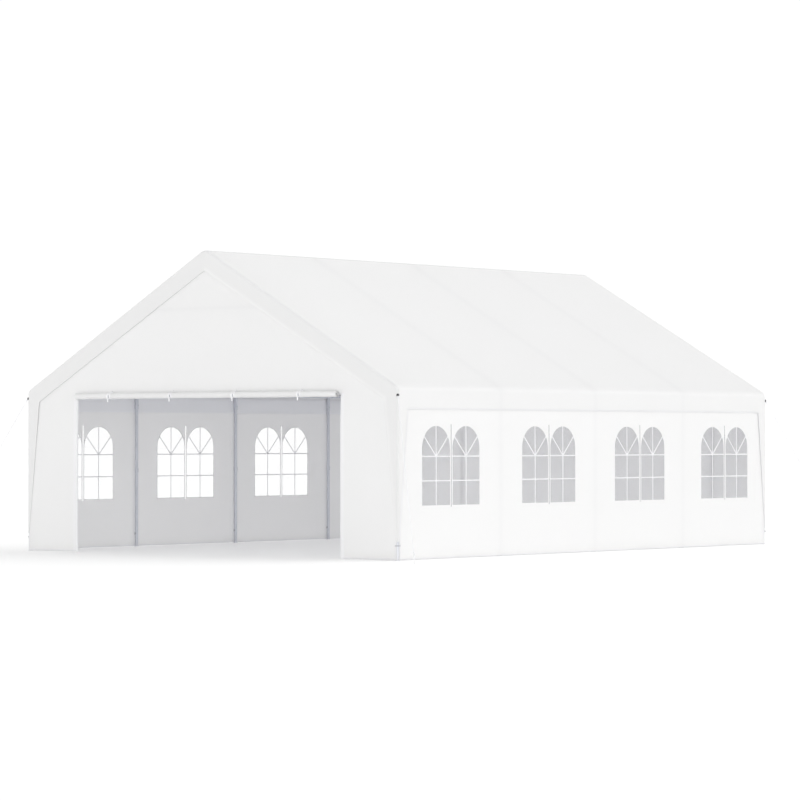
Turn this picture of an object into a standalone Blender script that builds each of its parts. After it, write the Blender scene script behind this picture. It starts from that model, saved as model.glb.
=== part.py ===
# Marquee tent: a steel tube frame under a pitched fabric roof, with four fabric walls.
# Metres, +Z up. The origin is on the ground at the middle of the footprint. The front gable,
# with its rolled-up door, faces -Y, and the two long walls face -X and +X.

from math import acos, atan2, cos, pi, radians, sin, tan

import bmesh
import bpy
from mathutils import Vector

# Frame, measured between tube axes
SPAN = 5.92
LENGTH = 7.92
BAYS = 4
ROOF_PITCH = radians(29.75)
RIDGE_TOP = 3.70  # highest point of the roof cover
TUBE_R = 0.019
SLEEVE_R = 0.0225  # elbows and joint rings around the tubes
KNEE_BEND_R = 0.06
RIDGE_BEND_R = 0.14
KNEE_SLEEVE = 0.12  # how far each elbow reaches up the slope from its bend
RIDGE_SLEEVE = 0.15
LEG_STUB_LOW = 1.80  # where a knee elbow ends and the post begins
SPIGOT_R = 0.0215
SPIGOT_REACH = 0.08
COLLAR_R = 0.016
COLLAR_Z = 2.995
POST_RING_Z = 1.0
POST_RING_H = 0.06
FOOT_PLATE = 0.056
FOOT_PLATE_T = 0.008

# Fabric
WALL_T = 0.002
COVER_T = 0.0025
GAP = 0.0003  # between pieces that touch
HEM_Z = 0.014  # lower edge of the walls
WALL_TOP = 1.965  # upper edge of the long walls, under the valance
WALL_EDGE = 0.005  # how far inside the post axes the wall sheets end
VALANCE_LOW = 1.757
RAKE_BAND_APEX = 3.455  # inner edge of the turned-down gable skirt, at the middle
RAKE_BAND_KNEE = (2.775, 1.88)  # the same edge where it turns down the corner
FLAP_LOW = 0.22  # lower end of the corner flaps
FLAP_LOW_WIDTH = 0.025
FLAP_TOP_WIDTH = 0.20

# Doors
DOOR_WIDTH = 4.246
DOOR_TOP = 1.945
ROLL_R = 0.0385
ROLL_LENGTH = 4.214

# Windows: two arches side by side, with a clear slit between them
ARCH_WIDTH = 0.525
ARCH_PITCH = 0.585
ARCH_LOW = 0.632
ARCH_TOP = 1.565
SLIT_WIDTH = 0.015
SLIT_LOW = 0.585
SLIT_TOP = 1.585
FILM_WIDTH = 1.17
FILM_LOW = 0.56
FILM_TOP = 1.61
FILM_T = 0.001

# Guy ropes and ground pegs
ROPE_Z = 1.92
ROPE_R = 0.003
STOPPER_R = 0.0235
STOPPER_T = 0.014
PEG_OUT = (0.80, 0.71)  # from the corner post's axis, along X and along Y
PEG_R = 0.005
PEG_H = 0.10
PEG_HOOK_R = 0.016

# How finely round shapes are divided
BEND_STEPS = 6
EDGE_STEPS = 4
TUBE_SIDES = 12
DISC_SIDES = 16
ROPE_SIDES = 8
PEG_SIDES = 10
PAST = 0.5  # how far a cutter runs past what it cuts

# Worked out from the values above
HALF_SPAN = SPAN / 2
HALF_LENGTH = LENGTH / 2
BAY = LENGTH / BAYS
RIDGE_AXIS_Z = RIDGE_TOP - COVER_T - GAP - SLEEVE_R
PEAK_Z = RIDGE_AXIS_Z + RIDGE_BEND_R * (1 / cos(ROOF_PITCH) - 1)
KNEE_Z = PEAK_Z - HALF_SPAN * tan(ROOF_PITCH)
WALL_INSIDE = SLEEVE_R + GAP  # from a post's axis to the inner face of a wall sheet
COVER_SIDE = WALL_INSIDE + WALL_T + GAP  # from a post's axis to the cover's inner face
COVER_SLOPE = SLEEVE_R + GAP  # from a rafter's axis to the cover's inner face

FABRIC = ((0.90, 0.90, 0.90), 0.6, 0.0)
STEEL = ((0.66, 0.68, 0.73), 0.45, 0.2)
FILM = ((0.85, 0.87, 0.88), 0.15, 0.0)
ROPE = ((0.80, 0.80, 0.80), 0.8, 0.0)


def make_material(name, finish):
    """One Principled material with a colour, a roughness and a metallic value."""
    colour, roughness, metallic = finish
    material = bpy.data.materials.new(name)
    material.use_nodes = True
    shader = material.node_tree.nodes["Principled BSDF"]
    shader.inputs["Base Color"].default_value = (*colour, 1.0)
    shader.inputs["Roughness"].default_value = roughness
    shader.inputs["Metallic"].default_value = metallic
    return material


def make_object(name, mesh, finish, location=(0, 0, 0)):
    """A finished piece of the tent, with a material of its own."""
    piece = bpy.data.objects.new(name, mesh)
    bpy.context.scene.collection.objects.link(piece)
    piece.location = location
    if not mesh.materials:
        mesh.materials.append(make_material(name, finish))
        mesh.shade_smooth()
        mesh.set_sharp_from_angle(angle=radians(30))
    return piece


def to_mesh(bm, name):
    """Closes the editing of a shape, with its faces pointing out."""
    bmesh.ops.recalc_face_normals(bm, faces=bm.faces)
    mesh = bpy.data.meshes.new(name)
    bm.to_mesh(mesh)
    bm.free()
    return mesh


def combine(base, tool, operation):
    """The mesh that a Boolean of two meshes leaves."""
    first = bpy.data.objects.new("base", base)
    second = bpy.data.objects.new("tool", tool)
    for each in (first, second):
        bpy.context.scene.collection.objects.link(each)
    cut = first.modifiers.new("cut", "BOOLEAN")
    cut.operation = operation
    cut.solver = "EXACT"
    cut.object = second
    shown = first.evaluated_get(bpy.context.evaluated_depsgraph_get())
    result = bpy.data.meshes.new_from_object(shown)
    result.name = base.name
    bpy.data.objects.remove(first)
    bpy.data.objects.remove(second)
    return result


def rounded(corners, radii, segments):
    """A 2-D path through corners, each replaced by an arc of its radius."""
    path = [Vector(corners[0])]
    for before, corner, after, radius in zip(corners, corners[1:], corners[2:], radii):
        corner = Vector(corner)
        back = (Vector(before) - corner).normalized()
        on = (Vector(after) - corner).normalized()
        half = acos(back.dot(on)) / 2
        middle = (back + on).normalized()
        centre = corner + middle * (radius / sin(half))
        start = corner + back * (radius / tan(half)) - centre
        end = corner + on * (radius / tan(half)) - centre
        first = atan2(start.y, start.x)
        turn = (atan2(end.y, end.x) - first + pi) % (2 * pi) - pi
        for i in range(segments + 1):
            angle = first + turn * i / segments
            path.append(centre + Vector((cos(angle), sin(angle))) * radius)
    path.append(Vector(corners[-1]))
    return path


def gable_path(side, slope, low):
    """The tent's section from leg to leg, as (x, z), a distance outside the tube axes."""
    x = HALF_SPAN + side
    peak = PEAK_Z + slope / cos(ROOF_PITCH)
    knee = peak - x * tan(ROOF_PITCH)
    corners = [(-x, low), (-x, knee), (0, peak), (x, knee), (x, low)]
    radii = [KNEE_BEND_R + slope, RIDGE_BEND_R + slope, KNEE_BEND_R + slope]
    return rounded(corners, radii, BEND_STEPS)


def loft(rings, name):
    """A solid through rings of as many points each, closed at both ends."""
    bm = bmesh.new()
    loops = [[bm.verts.new(point) for point in ring] for ring in rings]
    count = len(loops[0])
    for near, far in zip(loops, loops[1:]):
        for i in range(count):
            j = (i + 1) % count
            bm.faces.new((near[i], near[j], far[j], far[i]))
    bm.faces.new(loops[0])
    bm.faces.new(loops[-1])
    return to_mesh(bm, name)


def plate(outline, low, high, across, name):
    """A flat sheet: an outline of (u, z) points carried from low to high along X or Y."""
    if across == "X":
        rings = [[(end, u, z) for u, z in outline] for end in (low, high)]
    else:
        rings = [[(u, end, z) for u, z in outline] for end in (low, high)]
    return loft(rings, name)


def box_outline(u_from, u_to, z_from, z_to):
    """The corners of an upright rectangle."""
    return [(u_from, z_from), (u_to, z_from), (u_to, z_to), (u_from, z_to)]


def sweep(stations, across, sides, name):
    """A tube through (point, radius) stations that lie in one plane, square to across."""
    points = [point for point, _ in stations]
    rings = []
    for i, (point, radius) in enumerate(stations):
        behind = next((p for p in reversed(points[:i]) if (p - point).length > 1e-6), None)
        ahead = next((p for p in points[i + 1 :] if (p - point).length > 1e-6), None)
        into = (point - behind).normalized() if behind else None
        out = (ahead - point).normalized() if ahead else None
        into, out = into or out, out or into
        along = (into + out).normalized()
        mitre = 1 / along.dot(out)
        wide = along.cross(across).normalized() * mitre
        turns = [2 * pi * k / sides for k in range(sides)]
        rings.append([point + radius * (cos(a) * across + sin(a) * wide) for a in turns])
    return loft(rings, name)


def rod(start, end, radius, sides, name):
    """A straight round bar between two points."""
    start, end = Vector(start), Vector(end)
    along = end - start
    across = along.orthogonal().normalized()
    return sweep([(start, radius), (end, radius)], across, sides, name)


def joined(meshes, name):
    """Separate shapes in one mesh, to cut with or to join on in one go."""
    bm = bmesh.new()
    for mesh in meshes:
        bm.from_mesh(mesh)
    return to_mesh(bm, name)


# Steel frame


def truss_stations():
    """The bent tube of one truss, thicker where the elbows sleeve it."""
    path = [Vector((p.x, 0, p.y)) for p in gable_path(0, 0, LEG_STUB_LOW)]
    arc = BEND_STEPS + 1
    left_knee, ridge = path[1 : 1 + arc], path[1 + arc : 1 + 2 * arc]
    right_knee = path[1 + 2 * arc : 1 + 3 * arc]
    up = (ridge[0] - left_knee[-1]).normalized()
    down = (right_knee[0] - ridge[-1]).normalized()
    sleeved = [(p, SLEEVE_R) for p in [path[0], *left_knee, left_knee[-1] + up * KNEE_SLEEVE]]
    plain = [left_knee[-1] + up * KNEE_SLEEVE, ridge[0] - up * RIDGE_SLEEVE]
    sleeved += [(p, TUBE_R) for p in plain]
    middle = [ridge[0] - up * RIDGE_SLEEVE, *ridge, ridge[-1] + down * RIDGE_SLEEVE]
    sleeved += [(p, SLEEVE_R) for p in middle]
    plain = [ridge[-1] + down * RIDGE_SLEEVE, right_knee[0] - down * KNEE_SLEEVE]
    sleeved += [(p, TUBE_R) for p in plain]
    end = [right_knee[0] - down * KNEE_SLEEVE, *right_knee, path[-1]]
    return sleeved + [(p, SLEEVE_R) for p in end]


def purlin_axes():
    """Where the lengthways tubes cross a truss: left knee, ridge and right knee, as (x, z)."""
    bend = (pi / 2 - ROOF_PITCH) / 2
    centre_x = HALF_SPAN - KNEE_BEND_R
    centre_z = KNEE_Z - KNEE_BEND_R * tan(bend)
    x = centre_x + KNEE_BEND_R * cos(bend)
    z = centre_z + KNEE_BEND_R * sin(bend)
    return {"left_eave": (-x, z), "ridge": (0.0, RIDGE_AXIS_Z), "right_eave": (x, z)}


def truss_mesh(behind, ahead, name):
    """One truss: rafters, elbows, collar tube, and sockets that reach behind and ahead."""
    bent = sweep(truss_stations(), Vector((0, 1, 0)), TUBE_SIDES, name)
    half = (PEAK_Z - COLLAR_Z) / tan(ROOF_PITCH)
    ends = (-half, 0, COLLAR_Z), (half, 0, COLLAR_Z)
    extras = [rod(*ends, COLLAR_R, TUBE_SIDES, "collar")]
    for x, z in purlin_axes().values():
        ends = (x, -behind, z), (x, ahead, z)
        extras.append(rod(*ends, SPIGOT_R, TUBE_SIDES, "socket"))
    return combine(bent, joined(extras, "extras"), "UNION")


def post_mesh():
    """A post with its foot plate and the ring around its middle joint."""
    top = LEG_STUB_LOW - GAP
    ring_low, ring_top = POST_RING_Z - POST_RING_H / 2, POST_RING_Z + POST_RING_H / 2
    heights = [(FOOT_PLATE_T / 2, TUBE_R), (ring_low, TUBE_R), (ring_low, SLEEVE_R)]
    heights += [(ring_top, SLEEVE_R), (ring_top, TUBE_R), (top, TUBE_R)]
    stations = [(Vector((0, 0, z)), radius) for z, radius in heights]
    shaft = sweep(stations, Vector((1, 0, 0)), TUBE_SIDES, "post")
    half = FOOT_PLATE / 2
    foot = plate(box_outline(-half, half, 0, FOOT_PLATE_T), -half, half, "X", "foot")
    return combine(shaft, foot, "UNION")


def make_frame():
    rows = [-HALF_LENGTH + BAY * i for i in range(BAYS + 1)]
    post = post_mesh()
    first = truss_mesh(0, SPIGOT_REACH, "first truss")
    middle = truss_mesh(SPIGOT_REACH, SPIGOT_REACH, "middle truss")
    last = truss_mesh(SPIGOT_REACH, 0, "last truss")
    trusses = [first] + [middle] * (BAYS - 1) + [last]
    for number, (y, truss) in enumerate(zip(rows, trusses), 1):
        make_object(f"roof_truss_{number}", truss, STEEL, (0, y, 0))
        make_object(f"left_post_{number}", post, STEEL, (-HALF_SPAN, y, 0))
        make_object(f"right_post_{number}", post, STEEL, (HALF_SPAN, y, 0))
    reach = SPIGOT_REACH + GAP
    tube = rod((0, reach, 0), (0, BAY - reach, 0), TUBE_R, TUBE_SIDES, "purlin")
    for line, (x, z) in purlin_axes().items():
        for number, y in enumerate(rows[:-1], 1):
            make_object(f"{line}_tube_{number}", tube, STEEL, (x, y, z))


# Roof cover


def cover_shape(thicker, low, name):
    """The closed outer or inner form of the cover, with its edges rounded over the gables."""
    face = HALF_LENGTH + COVER_SIDE + thicker
    edge_r = COVER_SLOPE + thicker
    rings = []
    for i in range(EDGE_STEPS + 1):
        angle = pi / 2 * i / EDGE_STEPS
        inset = edge_r * (1 - sin(angle))
        y = face - edge_r * (1 - cos(angle))
        path = gable_path(COVER_SIDE + thicker - inset, COVER_SLOPE + thicker - inset, low)
        rings.append([(p.x, -y, p.y) for p in path])
    rings += [[(x, -y, z) for x, y, z in ring] for ring in reversed(rings)]
    return loft(rings, name)


def make_roof_cover():
    below = FLAP_LOW - PAST
    cover = cover_shape(COVER_T, FLAP_LOW, "roof_cover")
    cover = combine(cover, cover_shape(0, below, "inside"), "DIFFERENCE")
    flap_x = HALF_SPAN + COVER_SIDE + COVER_T - FLAP_LOW_WIDTH
    gable = [(flap_x, below), (flap_x, FLAP_LOW), RAKE_BAND_KNEE]
    gable = gable + [(0, RAKE_BAND_APEX)] + [(-u, z) for u, z in reversed(gable)]
    past = HALF_LENGTH + PAST
    cover = combine(cover, plate(gable, -past, past, "Y", "gable cut"), "DIFFERENCE")
    face = HALF_LENGTH + COVER_SIDE + COVER_T
    flap_y = face - FLAP_LOW_WIDTH
    under = [(flap_y, below), (flap_y, FLAP_LOW), (face - FLAP_TOP_WIDTH, VALANCE_LOW)]
    under = under + [(-u, z) for u, z in reversed(under)]
    past = HALF_SPAN + PAST
    cover = combine(cover, plate(under, -past, past, "X", "side cut"), "DIFFERENCE")
    make_object("roof_cover", cover, FABRIC)


# Walls


def arch_outline(middle):
    """An opening with a half-round head."""
    radius = ARCH_WIDTH / 2
    spring = ARCH_TOP - radius
    head = [pi * i / DISC_SIDES for i in range(DISC_SIDES + 1)]
    outline = [(middle + radius * cos(a), spring + radius * sin(a)) for a in head]
    return outline + [(middle - radius, ARCH_LOW), (middle + radius, ARCH_LOW)]


def make_long_wall(side, name):
    inside = HALF_SPAN + WALL_INSIDE
    faces = sorted((side * inside, side * (inside + WALL_T)))
    end = HALF_LENGTH - WALL_EDGE
    sheet = plate(box_outline(-end, end, HEM_Z, WALL_TOP), *faces, "X", name)
    past = sorted((side * (inside - PAST), side * (inside + PAST)))
    film_faces = sorted((side * (inside - GAP), side * (inside - GAP - FILM_T)))
    cutters = []
    for number in range(BAYS):
        middle = -HALF_LENGTH + BAY * (number + 0.5)
        for arch in (-1, 1):
            outline = arch_outline(middle + arch * ARCH_PITCH / 2)
            cutters.append(plate(outline, *past, "X", "arch"))
        half = SLIT_WIDTH / 2
        slit = box_outline(middle - half, middle + half, SLIT_LOW, SLIT_TOP)
        cutters.append(plate(slit, *past, "X", "slit"))
        half = FILM_WIDTH / 2
        film = box_outline(middle - half, middle + half, FILM_LOW, FILM_TOP)
        film = plate(film, *film_faces, "X", "film")
        make_object(f"window_film_{name.split('_')[0]}_{number + 1}", film, FILM)
    wall = combine(sheet, joined(cutters, "openings"), "DIFFERENCE")
    make_object(name, wall, FABRIC)


def make_gable_walls():
    inside = HALF_LENGTH + WALL_INSIDE
    outside = inside + WALL_T
    top = [(p.x, p.y) for p in gable_path(-WALL_EDGE, 0, HEM_Z)]
    half = DOOR_WIDTH / 2
    doorway = [(half, HEM_Z), (half, DOOR_TOP), (-half, DOOR_TOP), (-half, HEM_Z)]
    front = plate(top + doorway, -outside, -inside, "Y", "front_gable_wall")
    make_object("front_gable_wall", front, FABRIC)
    rear = plate(top + doorway, inside, outside, "Y", "rear_gable_wall")
    make_object("rear_gable_wall", rear, FABRIC)
    panel = box_outline(-half + GAP, half - GAP, HEM_Z, DOOR_TOP - GAP)
    panel = plate(panel, inside, outside, "Y", "rear_door_panel")
    make_object("rear_door_panel", panel, FABRIC)
    y = -(outside + GAP + ROLL_R)
    half = ROLL_LENGTH / 2
    ends = (-half, y, DOOR_TOP), (half, y, DOOR_TOP)
    roll = rod(*ends, ROLL_R, DISC_SIDES, "roll")
    make_object("front_door_roll", roll, FABRIC)


# Guy ropes


def make_guy_rope(side, end, name):
    """A taut rope from its round stopper at a corner of the cover down to a hooked peg."""
    out = Vector((side, end, 0)).normalized()
    bend = COVER_SIDE - COVER_SLOPE  # the corner's rounding is centred this far past the post
    corner = Vector((side * (HALF_SPAN + bend), end * (HALF_LENGTH + bend), ROPE_Z))
    seat = corner + out * (COVER_SLOPE + COVER_T + GAP)
    stopper = rod(seat, seat + out * STOPPER_T, STOPPER_R, DISC_SIDES, "stopper")
    peg_x = side * (HALF_SPAN + PEG_OUT[0])
    peg_y = end * (HALF_LENGTH + PEG_OUT[1])
    foot = Vector((peg_x, peg_y, 0))
    away = Vector((foot.x - seat.x, foot.y - seat.y, 0)).normalized()
    start = seat + out * STOPPER_T / 2
    tied = foot - away * (PEG_R + ROPE_R + GAP) + Vector((0, 0, PEG_H - 2 * ROPE_R))
    rope = rod(start, tied, ROPE_R, ROPE_SIDES, "rope")
    make_object(f"guy_rope_{name}", combine(rope, stopper, "UNION"), ROPE)
    centre = foot + Vector((0, 0, PEG_H)) + away * PEG_HOOK_R
    angles = [pi * i / 8 for i in range(9)]
    hook = [centre + PEG_HOOK_R * (sin(a) * Vector((0, 0, 1)) - cos(a) * away) for a in angles]
    across = away.cross(Vector((0, 0, 1)))
    peg = sweep([(p, PEG_R) for p in [foot, *hook]], across, PEG_SIDES, "peg")
    make_object(f"tent_peg_{name}", peg, STEEL)


for leftover in list(bpy.data.objects):
    bpy.data.objects.remove(leftover)

make_frame()
make_roof_cover()
make_long_wall(-1, "left_wall")
make_long_wall(1, "right_wall")
make_gable_walls()
for side, across_name in ((-1, "left"), (1, "right")):
    for end, end_name in ((-1, "front"), (1, "rear")):
        make_guy_rope(side, end, f"{end_name}_{across_name}")
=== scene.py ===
from functools import partial
from math import atan2, ceil, cos, dist, hypot, pi, radians, sin, tan

import bmesh
import bpy
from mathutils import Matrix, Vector, noise
from mathutils.bvhtree import BVHTree
from mathutils.geometry import delaunay_2d_cdt
from mathutils.kdtree import KDTree


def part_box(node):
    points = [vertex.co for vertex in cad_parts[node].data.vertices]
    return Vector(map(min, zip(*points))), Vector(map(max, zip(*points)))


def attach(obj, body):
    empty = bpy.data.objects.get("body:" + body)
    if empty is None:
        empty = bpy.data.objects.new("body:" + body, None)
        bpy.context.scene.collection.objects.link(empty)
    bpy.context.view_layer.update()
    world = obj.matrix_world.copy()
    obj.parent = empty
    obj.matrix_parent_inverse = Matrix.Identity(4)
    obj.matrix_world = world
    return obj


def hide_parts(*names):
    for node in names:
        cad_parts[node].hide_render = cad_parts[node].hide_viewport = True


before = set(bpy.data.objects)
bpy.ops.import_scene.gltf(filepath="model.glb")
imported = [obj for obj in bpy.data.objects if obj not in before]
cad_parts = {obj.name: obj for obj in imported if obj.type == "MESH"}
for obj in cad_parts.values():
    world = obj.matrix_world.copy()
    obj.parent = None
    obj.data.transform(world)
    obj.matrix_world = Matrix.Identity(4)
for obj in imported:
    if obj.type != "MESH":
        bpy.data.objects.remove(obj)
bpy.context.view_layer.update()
print("frame loaded with", len(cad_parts), "nodes")

# Places that the frame gives
posts = [sum(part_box(f"right_post_{row}"), Vector()) / 2 for row in range(1, 6)]
postX, rowY = posts[0].x, [post.y for post in posts]
endY, bayLength = rowY[-1], rowY[1] - rowY[0]
bayMiddles = [rowY[0] + bayLength * (number - 0.5) for number in range(1, 5)]
coverLow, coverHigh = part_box("roof_cover")
wallLow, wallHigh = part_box("right_wall")
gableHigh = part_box("rear_gable_wall")[1]
panelLow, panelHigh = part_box("rear_door_panel")
rollLow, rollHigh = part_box("front_door_roll")
rollY, rollZ = (rollLow.y + rollHigh.y) / 2, (rollLow.z + rollHigh.z) / 2
wallX, gableY = wallHigh.x, gableHigh.y     # outer faces of the long walls and of the gable walls
hemZ, ridgeTop = wallLow.z, coverHigh.z
upward, sideways = Vector((0, 0, 1)), Vector((1, 0, 0))


def vec(x, y, z):
    return Vector((x, y, z))


def clamp(value, low=0.0, high=1.0):
    return min(max(value, low), high)


def blend(first, last, share):
    return first + (last - first) * share


def steps(first, last, count):
    # evenly spaced from the first up to, and without, the last
    return [first + (last - first) * i / count for i in range(count)]


def arcPoints(x, z, radius, start, sweep, count):
    turns = [start + sweep * i / count for i in range(count + 1)]
    return [(x + radius * cos(turn), z + radius * sin(turn)) for turn in turns]


def pairs(line):
    return zip(line, line[1:] + line[:1])


def ripple(first, second, size, seed):
    return noise.noise(vec(first / size, second / size, seed))


def addObject(name, data):
    made = bpy.data.objects.new(name, data)
    bpy.context.scene.collection.objects.link(made)
    return made


# Camera, light and floor

cameraValues = {
    "place": (27.522, -35.103, 1.423),
    "turn": 38.22,          # degrees left of +Y
    "tilt": 0.636,          # degrees above level
    "lens": 153.86,
    "sensor": 36.0,
    "clip": (0.5, 1000.0),
}

lightValues = {
    "zenith": 0.588,        # sky straight above
    "horizonGain": 1.358,   # how much brighter the sky is at the horizon
    "backdrop": 1.03,       # the white behind the tent, as the camera sees it
    "sunTurn": 30.0,        # degrees from +Y towards +X
    "sunHeight": 50.0,
    "sunPower": 0.76,
    "sunSoftness": 62.0,
    "bounces": {"max": 16, "diffuse": 12, "transmission": 14, "transparent_max": 16},
}

floorValues = {"reach": 300.0, "colour": (0.97, 0.97, 0.97), "gloss": 0.9, "glow": 0.075}
white = (1.0, 1.0, 1.0)


def makeCamera():
    data = bpy.data.cameras.new("camera")
    data.lens, data.sensor_width = cameraValues["lens"], cameraValues["sensor"]
    data.clip_start, data.clip_end = cameraValues["clip"]
    camera = addObject("camera", data)
    camera.location = cameraValues["place"]
    camera.rotation_euler = (radians(90 + cameraValues["tilt"]), 0, radians(cameraValues["turn"]))
    bpy.context.scene.camera = camera


def makeLight():
    scene = bpy.context.scene
    scene.view_settings.view_transform = "Standard"
    for kind, count in lightValues["bounces"].items():
        setattr(scene.cycles, f"{kind}_bounces", count)
    scene.world = bpy.data.worlds.new("studio")
    scene.world.use_nodes = True
    tree = scene.world.node_tree
    calc = partial(mathNode, tree)
    place = addNode(tree, "ShaderNodeTexCoord").outputs["Generated"]
    height = calc("MAXIMUM", splitAxes(tree, place)["Z"], 0.0)
    low = calc("POWER", calc("SUBTRACT", 1.0, height), 2.0)
    lit = calc("ADD", calc("MULTIPLY", low, lightValues["horizonGain"]), lightValues["zenith"])
    seen = addNode(tree, "ShaderNodeLightPath").outputs["Is Camera Ray"]
    sky = addNode(tree, "ShaderNodeMix", {"Factor": seen, "A": lit, "B": lightValues["backdrop"]})
    background = {"Strength": sky.outputs["Result"], "Color": white}
    connect(tree, tree.nodes["Background"], background)
    lamp = bpy.data.lights.new("key", "SUN")
    lamp.energy, lamp.angle = lightValues["sunPower"], radians(lightValues["sunSoftness"])
    turn, rise = radians(lightValues["sunTurn"]), radians(lightValues["sunHeight"])
    towards = vec(sin(turn) * cos(rise), cos(turn) * cos(rise), sin(rise))
    key = addObject("key", lamp)
    key.rotation_mode = "QUATERNION"
    key.rotation_quaternion = towards.to_track_quat("Z", "Y")


def makeFloor():
    corners = [(x * floorValues["reach"], y * floorValues["reach"], 0)
               for x, y in ((-1, -1), (1, -1), (1, 1), (-1, 1))]
    mesh = bpy.data.meshes.new("floor")
    mesh.from_pydata(corners, [], [(0, 1, 2, 3)])
    material, tree, shader = newMaterial("paleFloor")
    connect(tree, shader, {
        "Base Color": floorValues["colour"], "Roughness": floorValues["gloss"],
        "Emission Color": white, "Emission Strength": floorValues["glow"],
        "Specular IOR Level": 0.0,
    })
    mesh.materials.append(material)
    addObject("floor", mesh)


# Shader building

def addNode(tree, kind, inputs=(), **settings):
    node = tree.nodes.new(kind)
    for key, value in settings.items():
        setattr(node, key, value)
    return connect(tree, node, dict(inputs))


def connect(tree, node, inputs):
    # each input takes a link or a value; colours are given without their alpha
    for key, value in inputs.items():
        socket = node.inputs[key]
        if isinstance(value, bpy.types.NodeSocket):
            tree.links.new(value, socket)
        else:
            socket.default_value = (*value, 1.0) if socket.type == "RGBA" else value
    return node


def mathNode(tree, operation, first, second=0.0, third=0.0, clamped=False):
    inputs = {0: first, 1: second, 2: third}
    node = addNode(tree, "ShaderNodeMath", inputs, operation=operation, use_clamp=clamped)
    return node.outputs[0]


def mixColours(tree, share, first, second):
    inputs = {"Factor": share, "A": first, "B": second}
    return addNode(tree, "ShaderNodeMix", inputs, data_type="RGBA").outputs["Result"]


def noiseAt(tree, vector, scale, detail):
    inputs = {"Vector": vector, "Scale": scale, "Detail": detail}
    return addNode(tree, "ShaderNodeTexNoise", inputs).outputs["Fac"]


def bumpFrom(tree, height, strength, distance, **more):
    inputs = {"Height": height, "Strength": strength, "Distance": distance, **more}
    return addNode(tree, "ShaderNodeBump", inputs).outputs["Normal"]


def splitAxes(tree, vector):
    return addNode(tree, "ShaderNodeSeparateXYZ", {0: vector}).outputs


def newMaterial(name):
    material = bpy.data.materials.new(name)
    material.use_nodes = True
    return material, material.node_tree, material.node_tree.nodes["Principled BSDF"]


def newGroup(name, inputs, *outputs):
    # an input's kind follows its first value, and None is a vector
    group = bpy.data.node_groups.new(name, "ShaderNodeTree")
    for key, value in inputs.items():
        kind = {float: "Float", tuple: "Color"}.get(type(value), "Vector")
        socket = group.interface.new_socket(key, in_out="INPUT", socket_type=f"NodeSocket{kind}")
        if value is not None:
            socket.default_value = (*value, 1.0) if kind == "Color" else value
    for key in outputs:
        kind = "Color" if key == "Colour" else "Float"
        group.interface.new_socket(key, in_out="OUTPUT", socket_type=f"NodeSocket{kind}")
    given, leave = addNode(group, "NodeGroupInput").outputs, addNode(group, "NodeGroupOutput")
    return group, given, leave, partial(mathNode, group)


def useGroup(tree, group, **values):
    return addNode(tree, "ShaderNodeGroup", values, node_tree=group).outputs


def makeWovenTape():
    # flat tapes that go over and under each other, as in woven polyethylene
    group, given, leave, calc = newGroup("wovenTape", {"Vector": None, "Width": 0.003}, "Height")
    place = splitAxes(group, given["Vector"])
    turns = [calc("MULTIPLY", calc("DIVIDE", place[axis], given["Width"]), pi) for axis in "XY"]
    waves = [calc("SINE", turn) for turn in turns]
    over = calc("MULTIPLY_ADD", calc("MULTIPLY", *waves), 3.0, 0.5, clamped=True)
    shares = over, calc("SUBTRACT", 1.0, over)
    tapes = [calc("MULTIPLY", calc("ABSOLUTE", wave), share) for wave, share in zip(waves, shares)]
    connect(group, leave, {"Height": calc("ADD", *tapes)})
    return group


def unevenGloss(calc, gloss, value, amount):
    return calc("ADD", gloss, calc("MULTIPLY", calc("SUBTRACT", value, 0.5), amount))


def makeClothTone():
    # faint cloudiness and uneven gloss of a coated sheet
    group, given, leave, calc = newGroup("clothTone", {
        "Vector": None, "Colour": (0.9, 0.9, 0.9), "Shade": (0.8, 0.8, 0.8), "Amount": 0.2,
        "Gloss": 0.5,
    }, "Colour", "Roughness")
    broad = noiseAt(group, given["Vector"], 0.9, 3.0)
    fine = noiseAt(group, given["Vector"], 17.0, 2.0)
    cloud = calc("MULTIPLY", calc("MULTIPLY", broad, fine), given["Amount"])
    connect(group, leave, {
        "Colour": mixColours(group, cloud, given["Colour"], given["Shade"]),
        "Roughness": unevenGloss(calc, given["Gloss"], fine, 0.25),
    })
    return group


def makeGroundDust():
    # darker and browner towards the ground, thinning out with height
    group, given, leave, calc = newGroup("groundTint", {
        "Vector": None, "Colour": (0.9, 0.9, 0.9), "LowTint": (0.62, 0.58, 0.52), "Reach": 0.2,
        "Amount": 0.1,
    }, "Colour")
    height = splitAxes(group, given["Vector"])["Z"]
    high = calc("DIVIDE", height, given["Reach"], clamped=True)
    low = calc("POWER", calc("SUBTRACT", 1.0, high), 2.0)
    patchy = calc("MULTIPLY", low, noiseAt(group, given["Vector"], 6.0, 4.0))
    share = calc("MULTIPLY", patchy, given["Amount"], clamped=True)
    connect(group, leave, {"Colour": mixColours(group, share, given["Colour"], given["LowTint"])})
    return group


def makeTubeMark():
    # a soft line, again after every Spacing along a coordinate: painted shade where cloth lies on a
    # tube, painted light beside a free edge
    inputs = {"Along": 0.0, "Spacing": 2.0, "Width": 0.05}
    group, given, leave, calc = newGroup("paintedSoftLine", inputs, "Mask")
    away = calc("PINGPONG", given["Along"], calc("MULTIPLY", given["Spacing"], 0.5))
    slope = {"Value": away, "From Max": given["Width"], "To Min": 1.0, "To Max": 0.0}
    fade = addNode(group, "ShaderNodeMapRange", slope, interpolation_type="SMOOTHSTEP")
    connect(group, leave, {"Mask": fade.outputs["Result"]})
    return group


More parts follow.
